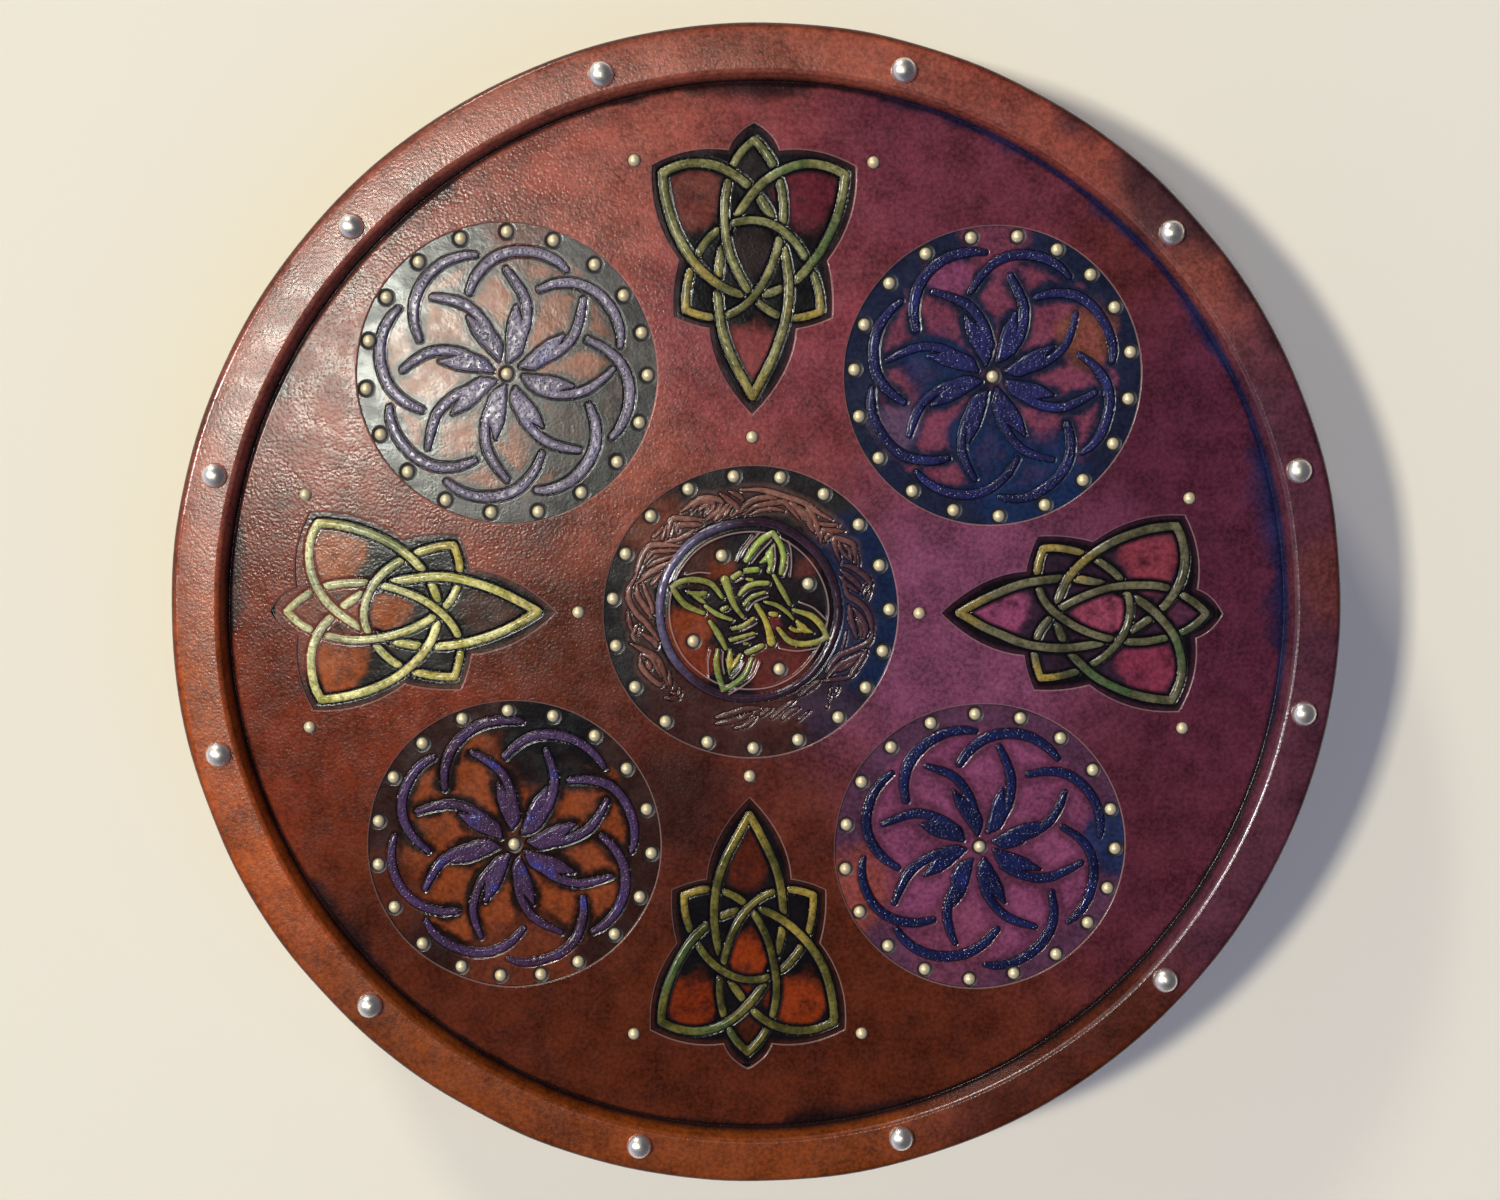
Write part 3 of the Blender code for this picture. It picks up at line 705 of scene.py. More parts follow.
def ring_tack_places(name):
    """The nineteen tacks walked round one roundel, in millimetres from its middle."""
    walked = ring_tack_starts[name] + ring_tack_stride * np.arange(17)
    gap = 360 - 16 * ring_tack_stride
    bearings = np.radians(np.concatenate((walked, walked[-1] + gap / 3 * np.array((1, 2)))))
    drift = np.random.default_rng(len(name)).normal(0, 0.25, (19, 2))
    return np.column_stack((np.cos(bearings), np.sin(bearings))) * ring_tack_reach + drift


def in_roundel(places):
    """Distance inside the outline of a roundel."""
    return roundel_radius - np.linalg.norm(places, axis=1)


def whirl_forms(seed):
    """Eight petals and eight crescents, no two quite alike."""
    chance = np.random.default_rng(seed)
    strokes = []
    for petal in range(8):
        for line, widths in ((blade_line, blade_widths), (tail_line, tail_widths),
                             (crescent_line, crescent_widths)):
            ends = chance.normal(0, 0.7, (2, 2))
            share = np.linspace(0, 1, len(line))[:, None]
            moved = np.array(line) + ends[0] * (1 - share) + ends[1] * share
            sampled = turned(smooth_line(moved, 16), -45.0 * petal + chance.normal(0, 0.8))
            strokes.append((sampled, widths_along(widths, 16) * chance.uniform(0.93, 1.07)))

    def forms(places):
        depths = [inside_stroke(places, line, widths) for line, widths in strokes]
        return np.array(depths), [1.2, 0.85, 0.85] * 8, np.full(len(places), 9.0)
    return forms


def read_mark(tree, label):
    """A distance that the carving kept on its skin."""
    return add_node(tree, "Attribute", attribute_name=label).outputs["Fac"]


# Small pits, as a pointed punch leaves them.
stipple, given, result = new_group("stipple", {"Size": "value"}, {"Height": "value"})
pitch = calculate("DIVIDE", 1000.0, given["Size"])
dents = add_node(stipple, "TexVoronoi", {"Vector": place_on(stipple), "Scale": pitch}).outputs[0]
fill(result["Height"], ramp(dents, 0.0, 0.5))


def ink_and_shade_the_cuts(colour, rise, pit, foot, crest):
    """Ink in the cut round each form, from its foot to its crest, and in the tacks' pits. The black
    is also painted shade in the cuts and a painted shadow round each tack.
    """
    line = times(ramp(rise, foot, -0.10), ramp(rise, 0.0, crest, 1.0, 0.0))
    line = calculate("MAXIMUM", times(line, 0.85), times(ramp(pit, -0.5, 0.3), 0.9))
    return blend(line, colour, ink)


def whirl_finish(name, petals, border, halo, ground, washes):
    """The dyes of one whirl. washes are wiped over its ground in turn."""
    smooth = 0.18 if name == "upper_left" else 0.14
    made, tree, shader = new_finish(name + "_whirl_dyes", 0.24, specular=0.46)
    rise, tone, pit, wall = (read_mark(tree, mark) for mark in ("rise", "tone", "pit", "wall"))
    cloud = noise(place_on(tree), 70, 6, 0.65)
    ragged = times(calculate("SUBTRACT", cloud, 0.5), 12.0)
    from_forms = calculate("SUBTRACT", ragged, rise)
    colour = blend(ramp(from_forms, 1.2, 4.6), halo, ground)
    colour = blend(ramp(plus(ragged, wall), 9.0, 13.0), border, colour)
    colour = wipe_all(tree, colour, washes, roundels[name])
    standing = ramp(rise, 0.0, 0.22)
    deep, light, blue = petals
    petal_dye = blend(tone, deep, light)
    petal_dye = blend(ramp(cloud, 0.35, 0.65), petal_dye, light)
    petal_dye = blend(ramp(cloud, 0.56, 0.68, 0.0, 0.8), petal_dye, blue)
    colour = dye_unevenly(blend(standing, colour, petal_dye), 0.22, 0.32)
    colour = ink_and_shade_the_cuts(colour, rise, pit, -0.75, 0.20)
    dents = times(use_group(tree, stipple, {"Size": 1.4})["Height"], standing)
    finish_leather(shader, colour, (0.5, 0.1), smooth, smooth + 0.06, 0.00004, pit, times(dents, 9.0))
    return made


charcoal, cinder, orange = (0.052, 0.042, 0.036), (0.016, 0.013, 0.012), (0.270, 0.078, 0.028)
cherry, rose, mauve = (0.170, 0.040, 0.062), (0.195, 0.047, 0.095), (0.095, 0.055, 0.095)
ultramarine, midnight, tawny = (0.009, 0.022, 0.065), (0.012, 0.015, 0.034), (0.215, 0.044, 0.009)
sienna = (0.130, 0.028, 0.010)

# For each whirl: three dyes of its petals, then its border, the halo round its forms,
# its ground, and the washes over the ground, at places counted from its middle.
whirl_dyes = {
    "upper_left": (
        ((0.140, 0.112, 0.145), (0.220, 0.185, 0.215), (0.150, 0.130, 0.220)),
        charcoal, charcoal, orange,
        ((cinder, 44, -34, 26, 20, 0.88, 40), (sienna, 6, 60, 8, 10, 0.8),
         (cinder, 54, 24, 6, 14, 0.8, 30))),
    "upper_right": (
        ((0.012, 0.013, 0.042), (0.020, 0.020, 0.080), (0.020, 0.028, 0.120)),
        midnight, midnight, cherry,
        ((ultramarine, -24, 4, 9, 9, 0.9), (ultramarine, -2, -26, 9, 10, 0.9),
         (ultramarine, 20, -52, 22, 9, 0.9), (orange, 42, 18, 8, 8, 0.6), (cherry, 2, 60, 10, 8, 0.9),
         (mauve, -40, -22, 6, 7, 0.9), (rose, -18, 42, 5, 6, 0.9))),
    "lower_left": (
        ((0.048, 0.018, 0.036), (0.064, 0.032, 0.078), (0.034, 0.038, 0.190)),
        (0.028, 0.009, 0.006), (0.014, 0.005, 0.003), tawny,
        ((sienna, 4, -60, 20, 12, 0.9), (ink, 16, 46, 17, 12, 0.97, 20),
         (chestnut, -58, -24, 14, 12, 0.9))),
    "lower_right": (
        ((0.006, 0.008, 0.032), (0.010, 0.013, 0.058), (0.014, 0.020, 0.100)),
        (0.085, 0.030, 0.055), (0.110, 0.028, 0.055), rose,
        ((scarlet, -56, -20, 12, 12, 0.8), (cherry, -10, -48, 12, 14, 0.6),
         (ultramarine, 64, 4, 12, 8, 0.9))),
}
for seed, (name, turn) in enumerate(whirl_turns.items()):
    pits = np.vstack((turned(ring_tack_places(name), -turn), [(0.0, 0.0)]))
    whirl = carve(name + "_whirl", roundels[name], turn, in_roundel, whirl_forms(40 + seed), pits,
                  100 + 10 * seed)
    whirl.data.materials.append(whirl_finish(name, *whirl_dyes[name]))
    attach(whirl, "root")


# ---------------------------------------------------------------- the knots
# Four knots, each of two three-cornered figures woven together, their strands left
# standing over black ground and dyed yellow and green; the open cells are red.

mirror = np.array((-1.0, 1.0))
cleft = np.array(((-38.6, 50.8), (0.0, 74.2), (31.5, 7.0), (15.5, -16.0), (0.0, -43.5)))
cradle = np.array(((-38.6, 50.8), (-38.0, 12.0), (0.0, -34.0), (38.0, 12.0), (38.6, 50.8)))
span = np.array(((0.0, 65.0), (-25.5, 43.0), (-9.5, 1.0), (4.0, -18.0), (28.6, -7.0)))
bow = np.array(((-28.6, -7.0), (-31.0, 22.0), (-4.0, 56.0), (29.0, 24.0), (28.6, -7.0)))
strand_samples = 41
strands = {name: (bezier(controls, strand_samples), half_width) for name, controls, half_width in (
    ("right_cleft", cleft, 1.82), ("left_cleft", cleft * mirror, 1.82), ("cradle", cradle, 1.82),
    ("falling_span", span, 1.64), ("rising_span", span * mirror, 1.64), ("bow", bow, 1.64))}
passes_over = {
    "right_cleft": ("cradle", "falling_span"),
    "left_cleft": ("right_cleft", "rising_span"),
    "cradle": ("left_cleft", "bow"),
    "falling_span": ("left_cleft", "bow", "cradle"),
    "rising_span": ("falling_span", "cradle", "right_cleft"),
    "bow": ("rising_span", "right_cleft", "left_cleft"),
}
weave_gap = 0.85              # left between a strand and the one that dives under it
corner_samples = 4            # near a shared corner strands meet, and neither dives


def in_knot(places):
    """Distance inside the outline of a knot."""
    outline = np.vstack((knot_outline, knot_outline[:1]))
    near = -inside_stroke(places, outline, np.zeros(len(outline)))
    within = np.zeros(len(places), bool)
    for (x0, y0), (x1, y1) in zip(outline, outline[1:]):
        crosses = (y0 > places[:, 1]) != (y1 > places[:, 1])
        with np.errstate(divide="ignore", invalid="ignore"):
            within ^= crosses & (places[:, 0] < x0 + (places[:, 1] - y0) * (x1 - x0) / (y1 - y0))
    return np.where(within, near, -near)


def softer_minimum(first, second):
    """The smaller of two distances, with the corner between them rounded off."""
    return -np.logaddexp(-1.6 * first, -1.6 * second) / 1.6


def knot_forms(places):
    """The strands, each cut off short of those that pass over it."""
    def inside(name, samples):
        line, half_width = strands[name]
        return inside_stroke(places, line[samples], np.full(strand_samples, half_width))

    gaps = {name: -inside(name, slice(corner_samples, -corner_samples)) - weave_gap
            for name in strands}
    shown = []
    for name in strands:
        depth = inside(name, slice(None))
        for upper, lowers in passes_over.items():
            if name in lowers:
                depth = softer_minimum(depth, gaps[upper])
        shown.append(depth)
    return np.array(shown), [1.15] * len(shown), np.full(len(places), 9.0)


def turn_washes(name, washes):
    """Washes given for the top knot, turned onto another."""
    return [(dye, *turned((place,), knot_turns[name], knots[name])[0], *rest)
            for dye, place, *rest in washes]


def knot_finish(name, strand, strand_light, ground, margin, cell_dyes):
    """The dyes of one knot: its strands, its ground and margin, and its open cells."""
    made, tree, shader = new_finish(name + "_knot_dyes", 0.24, specular=0.36)
    rise, wall = read_mark(tree, "rise"), read_mark(tree, "wall")
    spot = place_on(tree)
    cloud = noise(spot, 95, 5, 0.65)
    cell_washes = [(dye, place, 9, 7) for dye, place in zip(cell_dyes, cell_places)]
    cells = wipe_all(tree, ground, turn_washes(name, cell_washes))
    open_cell = times(times(ramp(rise, -0.6, -2.6), ramp(wall, 3.5, 7.0)), ramp(cloud, 0.20, 0.55))
    outside = blend(ramp(plus(wall, times(cloud, 2.0)), 1.4, 3.6), margin, ink)
    outside = blend(ramp(rise, -1.6, -0.7), outside, ink)
    # Reddish dye and painted sheen on the left knot's left margin.
    outside = wipe_all(tree, outside, margin_dye_and_sheen.get(name, ()), knots[name])
    colour = blend(open_cell, outside, cells)
    strand_dye = blend(ramp(cloud, 0.38, 0.60), strand, strand_light)
    strand_dye = wipe_all(tree, strand_dye, turn_washes(name, strand_washes))
    # A painted sheen on the left part of the left knot's strands.
    strand_dye = wipe_all(tree, strand_dye, painted_strand_sheen.get(name, ()), knots[name])
    flecks = times(ramp(noise(spot, 700, 3), 0.54, 0.66), 0.55)
    strand_dye = blend(flecks, strand_dye, (0.05, 0.045, 0.012))
    colour = blend(ramp(rise, 0.0, 0.20), colour, strand_dye)
    colour = dye_unevenly(colour, 0.22, 0.30)
    finish_leather(shader, colour, (0.8, 0.2), 0.14, 0.19, 0.00004)
    return made


# For each knot: two dyes of its strands, its ground, its margin, and its open cells: left,
# right, middle, low, and the one in the tip.
soot = (0.006, 0.005, 0.005)
knot_dyes = {
    "top": ((0.110, 0.105, 0.032), (0.275, 0.255, 0.095), soot, (0.034, 0.012, 0.012),
            ((0.150, 0.034, 0.022), (0.115, 0.016, 0.022), (0.020, 0.011, 0.010),
             (0.200, 0.042, 0.036), (0.020, 0.014, 0.013))),
    "left": ((0.400, 0.360, 0.070), (0.740, 0.680, 0.250), (0.022, 0.017, 0.013),
             (0.075, 0.026, 0.016),
             ((0.320, 0.070, 0.014), (0.330, 0.085, 0.024), (0.300, 0.070, 0.014),
              (0.060, 0.024, 0.014), (0.200, 0.050, 0.020))),
    "bottom": ((0.050, 0.046, 0.010), (0.150, 0.126, 0.024), soot, (0.040, 0.010, 0.005),
               ((0.210, 0.028, 0.003), (0.165, 0.021, 0.003), (0.200, 0.027, 0.003),
                (0.090, 0.015, 0.005), (0.060, 0.013, 0.004))),
    "right": ((0.060, 0.056, 0.026), (0.150, 0.136, 0.068), (0.030, 0.014, 0.024),
              (0.034, 0.010, 0.017),
              ((0.215, 0.036, 0.046), (0.190, 0.028, 0.050), (0.260, 0.048, 0.076),
               (0.265, 0.056, 0.110), (0.080, 0.022, 0.042))),
}
cell_places = ((-24, 42), (24, 42), (0, 22), (0, -25), (0, 58))
gold, fern = (0.430, 0.290, 0.045), (0.045, 0.100, 0.030)
strand_washes = (
    (gold, (-28, -8), 5, 7, 0.6), (gold, (28, -8), 5, 7, 0.6), (gold, (-22, 8), 4, 8, 0.4),
    (gold, (0, -45), 8, 12, 0.4), (fern, (34, 22), 8, 10, 0.65), (fern, (14, 56), 4, 8, 0.6))
# The pale wash on the left knot's strands is a painted sheen, where the light glances off them.
painted_strand_sheen = {"left": (((0.60, 0.60, 0.34), -42, 6, 16, 26, 0.6),)}
# The reddish-brown on the left knot's left margin is partly dye and partly a painted sheen.
margin_dye_and_sheen = {"left": (((0.200, 0.055, 0.032), -62, 4, 24, 16, 0.85),)}
for seed, (name, turn) in enumerate(knot_turns.items()):
    knot = carve(name + "_knot", knots[name], turn, in_knot, knot_forms, (), 200 + 10 * seed)
    knot.data.materials.append(knot_finish(name, *knot_dyes[name]))
    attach(knot, "root")


# ---------------------------------------------------------------- the middle roundel
# A purple hoop, with four pointed loops bound together inside it and a band of brown
# knotwork outside it, cut finer and shallower than the rest.

hoop_middle, hoop_line_radius, hoop_half_width = (-0.9, 0.8), 38.9, 1.8
inner_line_radius = 34.7

# The brown knotwork, as the points each stroke bends through: broad bands first, then
# cords, then the short cuts between them.
bands = (
    ((-31, 44), (-26.7, 46.9), (-22.7, 49.3), (-18.7, 50), (-14, 49.3), (-12, 48)),
    ((-20, 40.2), (-14.9, 44), (-12.7, 47.3)), ((-16, 40.3), (-13.3, 43.3), (-10, 47.3)),
    ((-13.3, 51.7), (-10, 49.5), (-6.7, 47), (-5.7, 44.7), (-8.7, 42.2)),
    ((-4.7, 53.5), (3.3, 53.7), (10.7, 52), (17.3, 49.8), (23.3, 47.7), (28.7, 44), (34.7, 40.7)),
    ((-4.7, 44), (-2, 47.3), (2, 49.7), (6.7, 50.5), (10.7, 49.9)),
    ((-3.3, 42.9), (1.3, 46.2), (6.7, 47.5), (12, 48.1), (14.6, 48), (17.3, 44.7), (20.5, 40.9)),
    ((16.7, 48.2), (20, 45), (23.3, 40.4)), ((20.7, 46.2), (24, 42.7), (26, 38), (27.3, 35.7)),
    ((23.6, 46), (26.9, 42.2), (28.6, 38), (29.3, 33.5)),
    ((30.3, 30.7), (31, 35.7), (35.3, 35.9), (40, 35.7)),
    ((38.6, 22.7), (36.8, 27.4), (35.9, 32.5), (40, 31.7), (44, 30), (45, 26.7), (45.3, 22)),
    ((39.3, 20.9), (44, 20), (48, 17.3), (52, 13.4), (50.7, 9.3)),
    ((39.3, 18.5), (44.7, 14.2), (48, 10.7)),
    ((40, 16), (42, 8), (46.7, 4.7), (50.7, 0.7), (52.7, -5.3), (52.9, -9)),
    ((42.7, 3.3), (43.3, 0), (44, -4), (46.4, -10.9)),
    ((44.7, 2), (48, -2), (50, -6.7), (49.3, -11.3)),
    ((53.2, -9.3), (51.3, -12.7), (45.3, -16), (39.3, -18.9), (35.3, -23.3), (33.3, -26.7)),
    ((50.7, -16), (48, -21.3), (44, -26.9)), ((49, -17.3), (44, -20.7), (38.7, -23.5), (34, -28.5)),
    ((30.4, -30), (26.7, -32.7), (21.3, -36.9)),
    ((4, -42.4), (-2.7, -43), (-9.3, -45), (-14.7, -46.5)),
    ((0.7, -44.7), (-3.3, -46.5), (-9.3, -48), (-14.7, -49.1)),
    ((-47.7, -19.3), (-47.3, -24), (-44, -28.5), (-40, -31.8), (-38, -31.3)),
    ((-44.7, -21.5), (-43.6, -25.3)),
    ((-51.7, -14.2), (-46.7, -16.6), (-40.7, -20), (-38, -26), (-36, -32.7)),
    ((-46.9, -9.7), (-42, -13), (-41, -15.5)),
    ((-50, 15.3), (-52.7, 10), (-52.7, 4.7), (-49.3, -1.3), (-44.7, -5.5), (-40.9, -10.7)),
    ((-49.3, 12), (-48.9, 6.7), (-45.5, 1.3), (-42.9, -2.7)),
    ((-31.3, 28.9), (-37.3, 29.5), (-43.3, 29.3), (-46.7, 25.3), (-48.7, 20), (-49.9, 15.5)),
    ((-36.3, 32.9), (-34.5, 40.5), (-29.3, 41), (-21.3, 40.5)),
    ((-32.7, 34.7), (-31.3, 37.9), (-25.3, 38.3), (-21.8, 38.2)),
)
cords = (
    ((-12, 42), (-10.3, 44), (-8.3, 47.3)), ((-9.3, 52.7), (-6, 51.3), (-3.3, 49.3)),
    ((-26.7, 44), (-24, 47.3), (-20, 48.2), (-16.2, 47.4), (-17.3, 44.7), (-20.7, 41.9)),
    ((-23, 44), (-21.3, 46), (-18.7, 46.4), (-18.4, 45.2), (-20.4, 43.3)),
    ((-0.7, 42.6), (4, 44.5), (9.3, 45.2), (14, 44.2)), ((29.3, 39.1), (33.3, 38.5), (37.7, 38.5)),
    ((32.3, 30.9), (33, 33.6), (35.6, 34.2)), ((37.9, 31), (39.4, 26.7), (43.9, 22.7)),
    ((40, 29.8), (42.7, 27.3), (43.4, 23.6)), ((38.9, 16), (41.3, 12.9), (46.7, 8.7)),
    ((46.2, -2.4), (48, -6.7), (48, -10.5)), ((46.5, -20.7), (42, -24), (37.3, -26)),
    ((46.7, -25.6), (42.7, -28.5), (36.7, -29.6), (31, -30.4)),
    ((19.3, -38.7), (14.7, -42), (9.3, -46.9)), ((9.3, -42.5), (6.7, -44), (4.7, -46)),
    ((21.3, -42), (17.3, -44), (14, -47.3)), ((2.7, -46), (-1.3, -49.6), (-6.7, -51.1)),
    ((-30.7, -33.3), (-31.3, -36), (-34.7, -35.5)), ((-37.3, -37.9), (-31.5, -37.9)),
    ((-47.5, -18.4), (-43.3, -20), (-40.9, -24), (-38.6, -29.3)), ((-35.3, -26), (-34.7, -33)),
    ((-49.3, -5.3), (-51.2, -10), (-50, -13.3)), ((-46.7, -4.7), (-42.7, -8.7), (-40, -12.7)),
    ((-53.3, 0.7), (-52.9, -4), (-51.5, -8.7)),
    ((-47.3, 14), (-45.3, 8), (-43.2, 2.7), (-42.7, -0.7)),
    ((-38.7, 17.3), (-41.3, 14), (-43.3, 12)), ((-38, 19.5), (-44, 16.5), (-50, 12.2)),
    ((-33.3, 22.7), (-41.3, 19.1), (-47.3, 15.8)),
    ((-32, 26.9), (-38, 26.9), (-42.7, 26), (-45.7, 21.7)),
    ((-33.3, 25.1), (-40, 22.3), (-44.7, 20)), ((-42.7, 32.3), (-38, 37.3)),
    ((-38.7, 31.5), (-36.9, 37.3)), ((-26.7, 34.7), (-31.3, 31.9), (-37.3, 30.9)),
    ((-24.5, 36.3), (-28.7, 32.4)),
)
cuts = (
    ((46.3, 26.3), (46.7, 20)), ((50.2, 13.3), (47.7, 9.3)), ((51, 11.3), (48.9, 6.7)),
    ((52.4, 10), (50.8, 5.3)), ((42, -8), (40.2, -17.3)), ((38.9, -32.7), (37, -36.7)),
    ((35.4, -33), (34.4, -38.7)), ((34.4, -40.2), (33.2, -42)), ((17, -39.6), (11.5, -45.4)),
    ((26, -43.3), (22.7, -46), (20.7, -48)), ((-47.7, -6.7), (-49.3, -9.5)),
)

# Every stroke of the figure in the middle: the points it bends through, and its
# half-width at each. Pairs of strokes meet in the tips of the loops.
figure = (
    (((-2, 22.6), (0.6, 27.3), (4.4, 31.8), (9.4, 34.8)), (1.1, 1.4, 1.5, 1.2)),
    (((9.4, 34.8), (12.4, 30.2), (13.9, 24.6), (12.9, 17.6)), (1.2, 1.3, 1.4, 1.3)),
    (((9.2, 29.4), (7.8, 25), (8.2, 21), (7.3, 17.8)), (0.3, 1.8, 1.2, 0.9)),
    (((8.4, 25.6), (6, 23.2), (3.6, 21.5)), (1, 1.3, 0.4)),
    (((-34.2, 11), (-30.6, 13.4), (-25, 14.5), (-18.6, 13.2), (-15.4, 10.6), (-12.6, 6.6)),
     (1.2, 1.3, 1.3, 1.3, 1.2, 0.9)),
    (((-34.2, 11), (-31.8, 6.8), (-27.6, 2.6), (-20.6, -0.4)), (1.2, 1.4, 1.4, 1)),
    (((-28.6, 9.4), (-24, 8), (-20, 8.4)), (0.3, 1.5, 1.1)),
    (((-24.4, 7.4), (-21.6, 5.2), (-20, 4.2)), (1.1, 1.1, 0.5)),
    (((-19.6, 2.6), (-14.6, -0.9), (-8.6, -3.3)), (0.9, 1.2, 0.8)),
    (((-12.4, 1.3), (-10.6, 2.2)), (1.2, 1)),
    (((33.6, -10.8), (31, -5.6), (26.4, -1.2), (18.8, 1.3)), (1.2, 1.4, 1.4, 0.9)),
    (((33.6, -10.8), (28.4, -13.1), (22.4, -13.9), (16.6, -12.3), (12, -7.2)),
     (1.2, 1.4, 1.4, 1.4, 1)), (((27.4, -8.8), (22.8, -6.8), (20.4, -3.8)), (0.3, 2, 0.8)),
    (((22.6, -7.8), (19.6, -7.8), (17.4, -6.8)), (0.8, 1, 0.9)),
    (((6.4, 4.6), (11.4, 3.2), (15.6, 0.4), (18.6, -2.8)), (0.7, 1, 1, 0.6)),
    (((8.8, -0.6), (11, -0.8)), (1.1, 1.2)),
    (((-11.8, -34), (-13.9, -28), (-15, -22), (-14.4, -16.4)), (1.2, 1.4, 1.4, 0.9)),
    (((-11.8, -34), (-6.6, -31.2), (-2.2, -27.2), (0.8, -20.4)), (1.2, 1.3, 1.2, 1)),
    (((-9.2, -27.6), (-9, -21.6), (-8.8, -16.6)), (0.4, 1.7, 0.8)),
    (((-8.4, -25), (-6, -21.6), (-4.2, -18.4)), (0.9, 1.1, 0.6)),
    (((-11.2, 14.4), (-9.4, 8.6), (-7.4, 3), (-3.6, -2.2)), (2, 1.6, 1.3, 0.8)),
    (((9.6, 16.2), (13.2, 10.4), (17, 3.8)), (0.8, 1.3, 0.9)),
    (((2.4, 3.2), (6, -2.6), (8, -8.2), (9.2, -13.2)), (1.2, 1.3, 1.5, 1.9)),
    (((-17.8, -4.2), (-14, -10), (-10.8, -15.8)), (0.9, 1.5, 0.9)),
    (((-7.4, 15.6), (-4.8, 17.2)), (1.3, 1.2)), (((-1.8, 18.2), (2.4, 18.6)), (1.3, 1.2)),
    (((-1.4, 14.6), (0.4, 14.2)), (0.7, 0.8)),
    (((-5.2, 7.8), (-2.2, 11), (2, 12.6), (7, 12.8)), (0.8, 1.2, 1.2, 1.1)),
    (((-3.2, 3.4), (0, 6.8), (5.8, 8.8)), (0.8, 1, 0.8)),
    (((-8, -7.2), (-3.2, -6), (1.2, -2.6)), (0.9, 1.2, 0.8)),
    (((-8.6, -12), (-3.2, -10.6), (1.6, -9.4)), (1, 0.9, 0.7)),
    (((-2.6, -13.8), (-1, -13.8)), (0.7, 0.7)),
    (((-1.2, -17.6), (2, -16.4), (5.2, -14.8)), (1.2, 1.4, 1.2)),
)
thin_ridges = (
    ((-5.8, 22.4), (-3.8, 27.4), (0.8, 33.6)), ((-4.2, 24), (-1, 30), (3.8, 35)),
    ((16, 31.6), (17.4, 27), (17.5, 20.6), (16.9, 15.8)), ((16, 25), (15.6, 20), (14, 15.6)),
    ((0.2, 21.4), (3.8, 26.4), (8.8, 31.6)), ((9.9, 30), (10.2, 23), (9.2, 17.6)),
    ((-28, 16.6), (-23, 17.6), (-17.6, 17.2)), ((-6, -13.4), (-1.2, -12), (2, -10.8)),
    ((-3.6, -8.2), (0, -6.6), (2.8, -4.6)), ((-1.6, 0.8), (1.4, 4.6), (7.6, 7)),
    ((-6.6, 13.6), (-3.2, 15)), ((4.4, -22), (1.6, -28), (-3.6, -32.6), (-9.6, -36)),
    ((-8, -29.2), (-4.8, -26), (-2.6, -22)), ((-12, -17), (-12.2, -22), (-11.4, -27)),
    ((-17.4, -16.4), (-18.6, -22), (-18.2, -28.8)), ((13, -15.8), (21, -17), (29.6, -15.8)),
    ((21.6, 4.6), (27.4, 2.2), (33, -3)),
)


def middle_forms(places):
    """The hoop, the brown knotwork, then the figure."""
    from_hoop = np.linalg.norm(places - hoop_middle, axis=1)
    depths = [hoop_half_width - abs(from_hoop - hoop_line_radius)]
    for lines, wide in ((bands, 1.25), (cords, 0.95), (cuts, 0.55)):
        for line in lines:
            count = 3 * len(line) + 1
            widths = widths_along((0.4 * wide, wide, wide, wide, 0.4 * wide), count)
            depths.append(inside_stroke(places, smooth_line(line, count), widths))
    shoulders = [1.7] + [0.75] * (len(depths) - 1) + [1.1] * len(figure)
    for line, widths in figure:
        count = 3 * len(line) + 1
        depths.append(inside_stroke(places, smooth_line(line, count), widths_along(widths, count)))
    ridges = [abs(from_hoop - inner_line_radius)]
    for line in thin_ridges:
        ridges.append(-inside_stroke(places, smooth_line(line, 9), np.zeros(9)))
    return np.array(depths), shoulders, np.min(ridges, axis=0)


middle_finish, tree, shader = new_finish("middle_dyes", 0.24, specular=0.5)
rise, tone, form, pit, wall, ridge = (
    read_mark(tree, mark) for mark in ("rise", "tone", "form", "pit", "wall", "ridge"))
centre = roundels["middle"]
outer_ground = wipe_all(tree, cinder, (
    ((0.008, 0.017, 0.048), 60, 6, 34, 14, 0.95), (sienna, -44, 40, 8, 12, 0.9),
    ((0.050, 0.014, 0.010), -10, -58, 32, 16, 0.9), ((0.040, 0.022, 0.040), 36, -44, 8, 10, 0.8),
), centre)
inner_ground = wipe_all(tree, (0.010, 0.006, 0.007), (
    ((0.045, 0.014, 0.009), -22, 24, 7, 8), ((0.180, 0.032, 0.007), -27, -8, 7, 7),
    ((0.150, 0.024, 0.008), -22, -21, 4, 7), ((0.100, 0.018, 0.012), 14, -26, 10, 8),
    ((0.130, 0.028, 0.009), -13, 20, 3, 5), ((0.080, 0.018, 0.012), 24, 20, 2, 5),
    ((0.120, 0.018, 0.018), 10, -4, 1, 4),
), centre)
colour = blend(ramp(wall, 26.0, 28.0), outer_ground, inner_ground)
olive, lime, moss = (0.210, 0.215, 0.042), (0.300, 0.380, 0.065), (0.150, 0.230, 0.045)
straw = (0.440, 0.330, 0.045)
green = wipe_all(tree, blend(tone, olive, (0.290, 0.290, 0.065)), (
    (lime, 7, 27, 8, 6, 0.8), (straw, 8, -5, 5, 5, 0.8), (straw, 23, -6, 5, 4, 0.8),
    (straw, -8, -22, 4, 4, 0.8), (moss, -4, -33, 7, 5, 0.8),
), centre)
brown = wipe_all(tree, blend(tone, (0.175, 0.068, 0.044), (0.255, 0.115, 0.078)), (
    ((0.075, 0.032, 0.036), 40, -10, 30, 24), ((0.040, 0.012, 0.009), -20, -50, 20, 16, 0.8),
), centre)
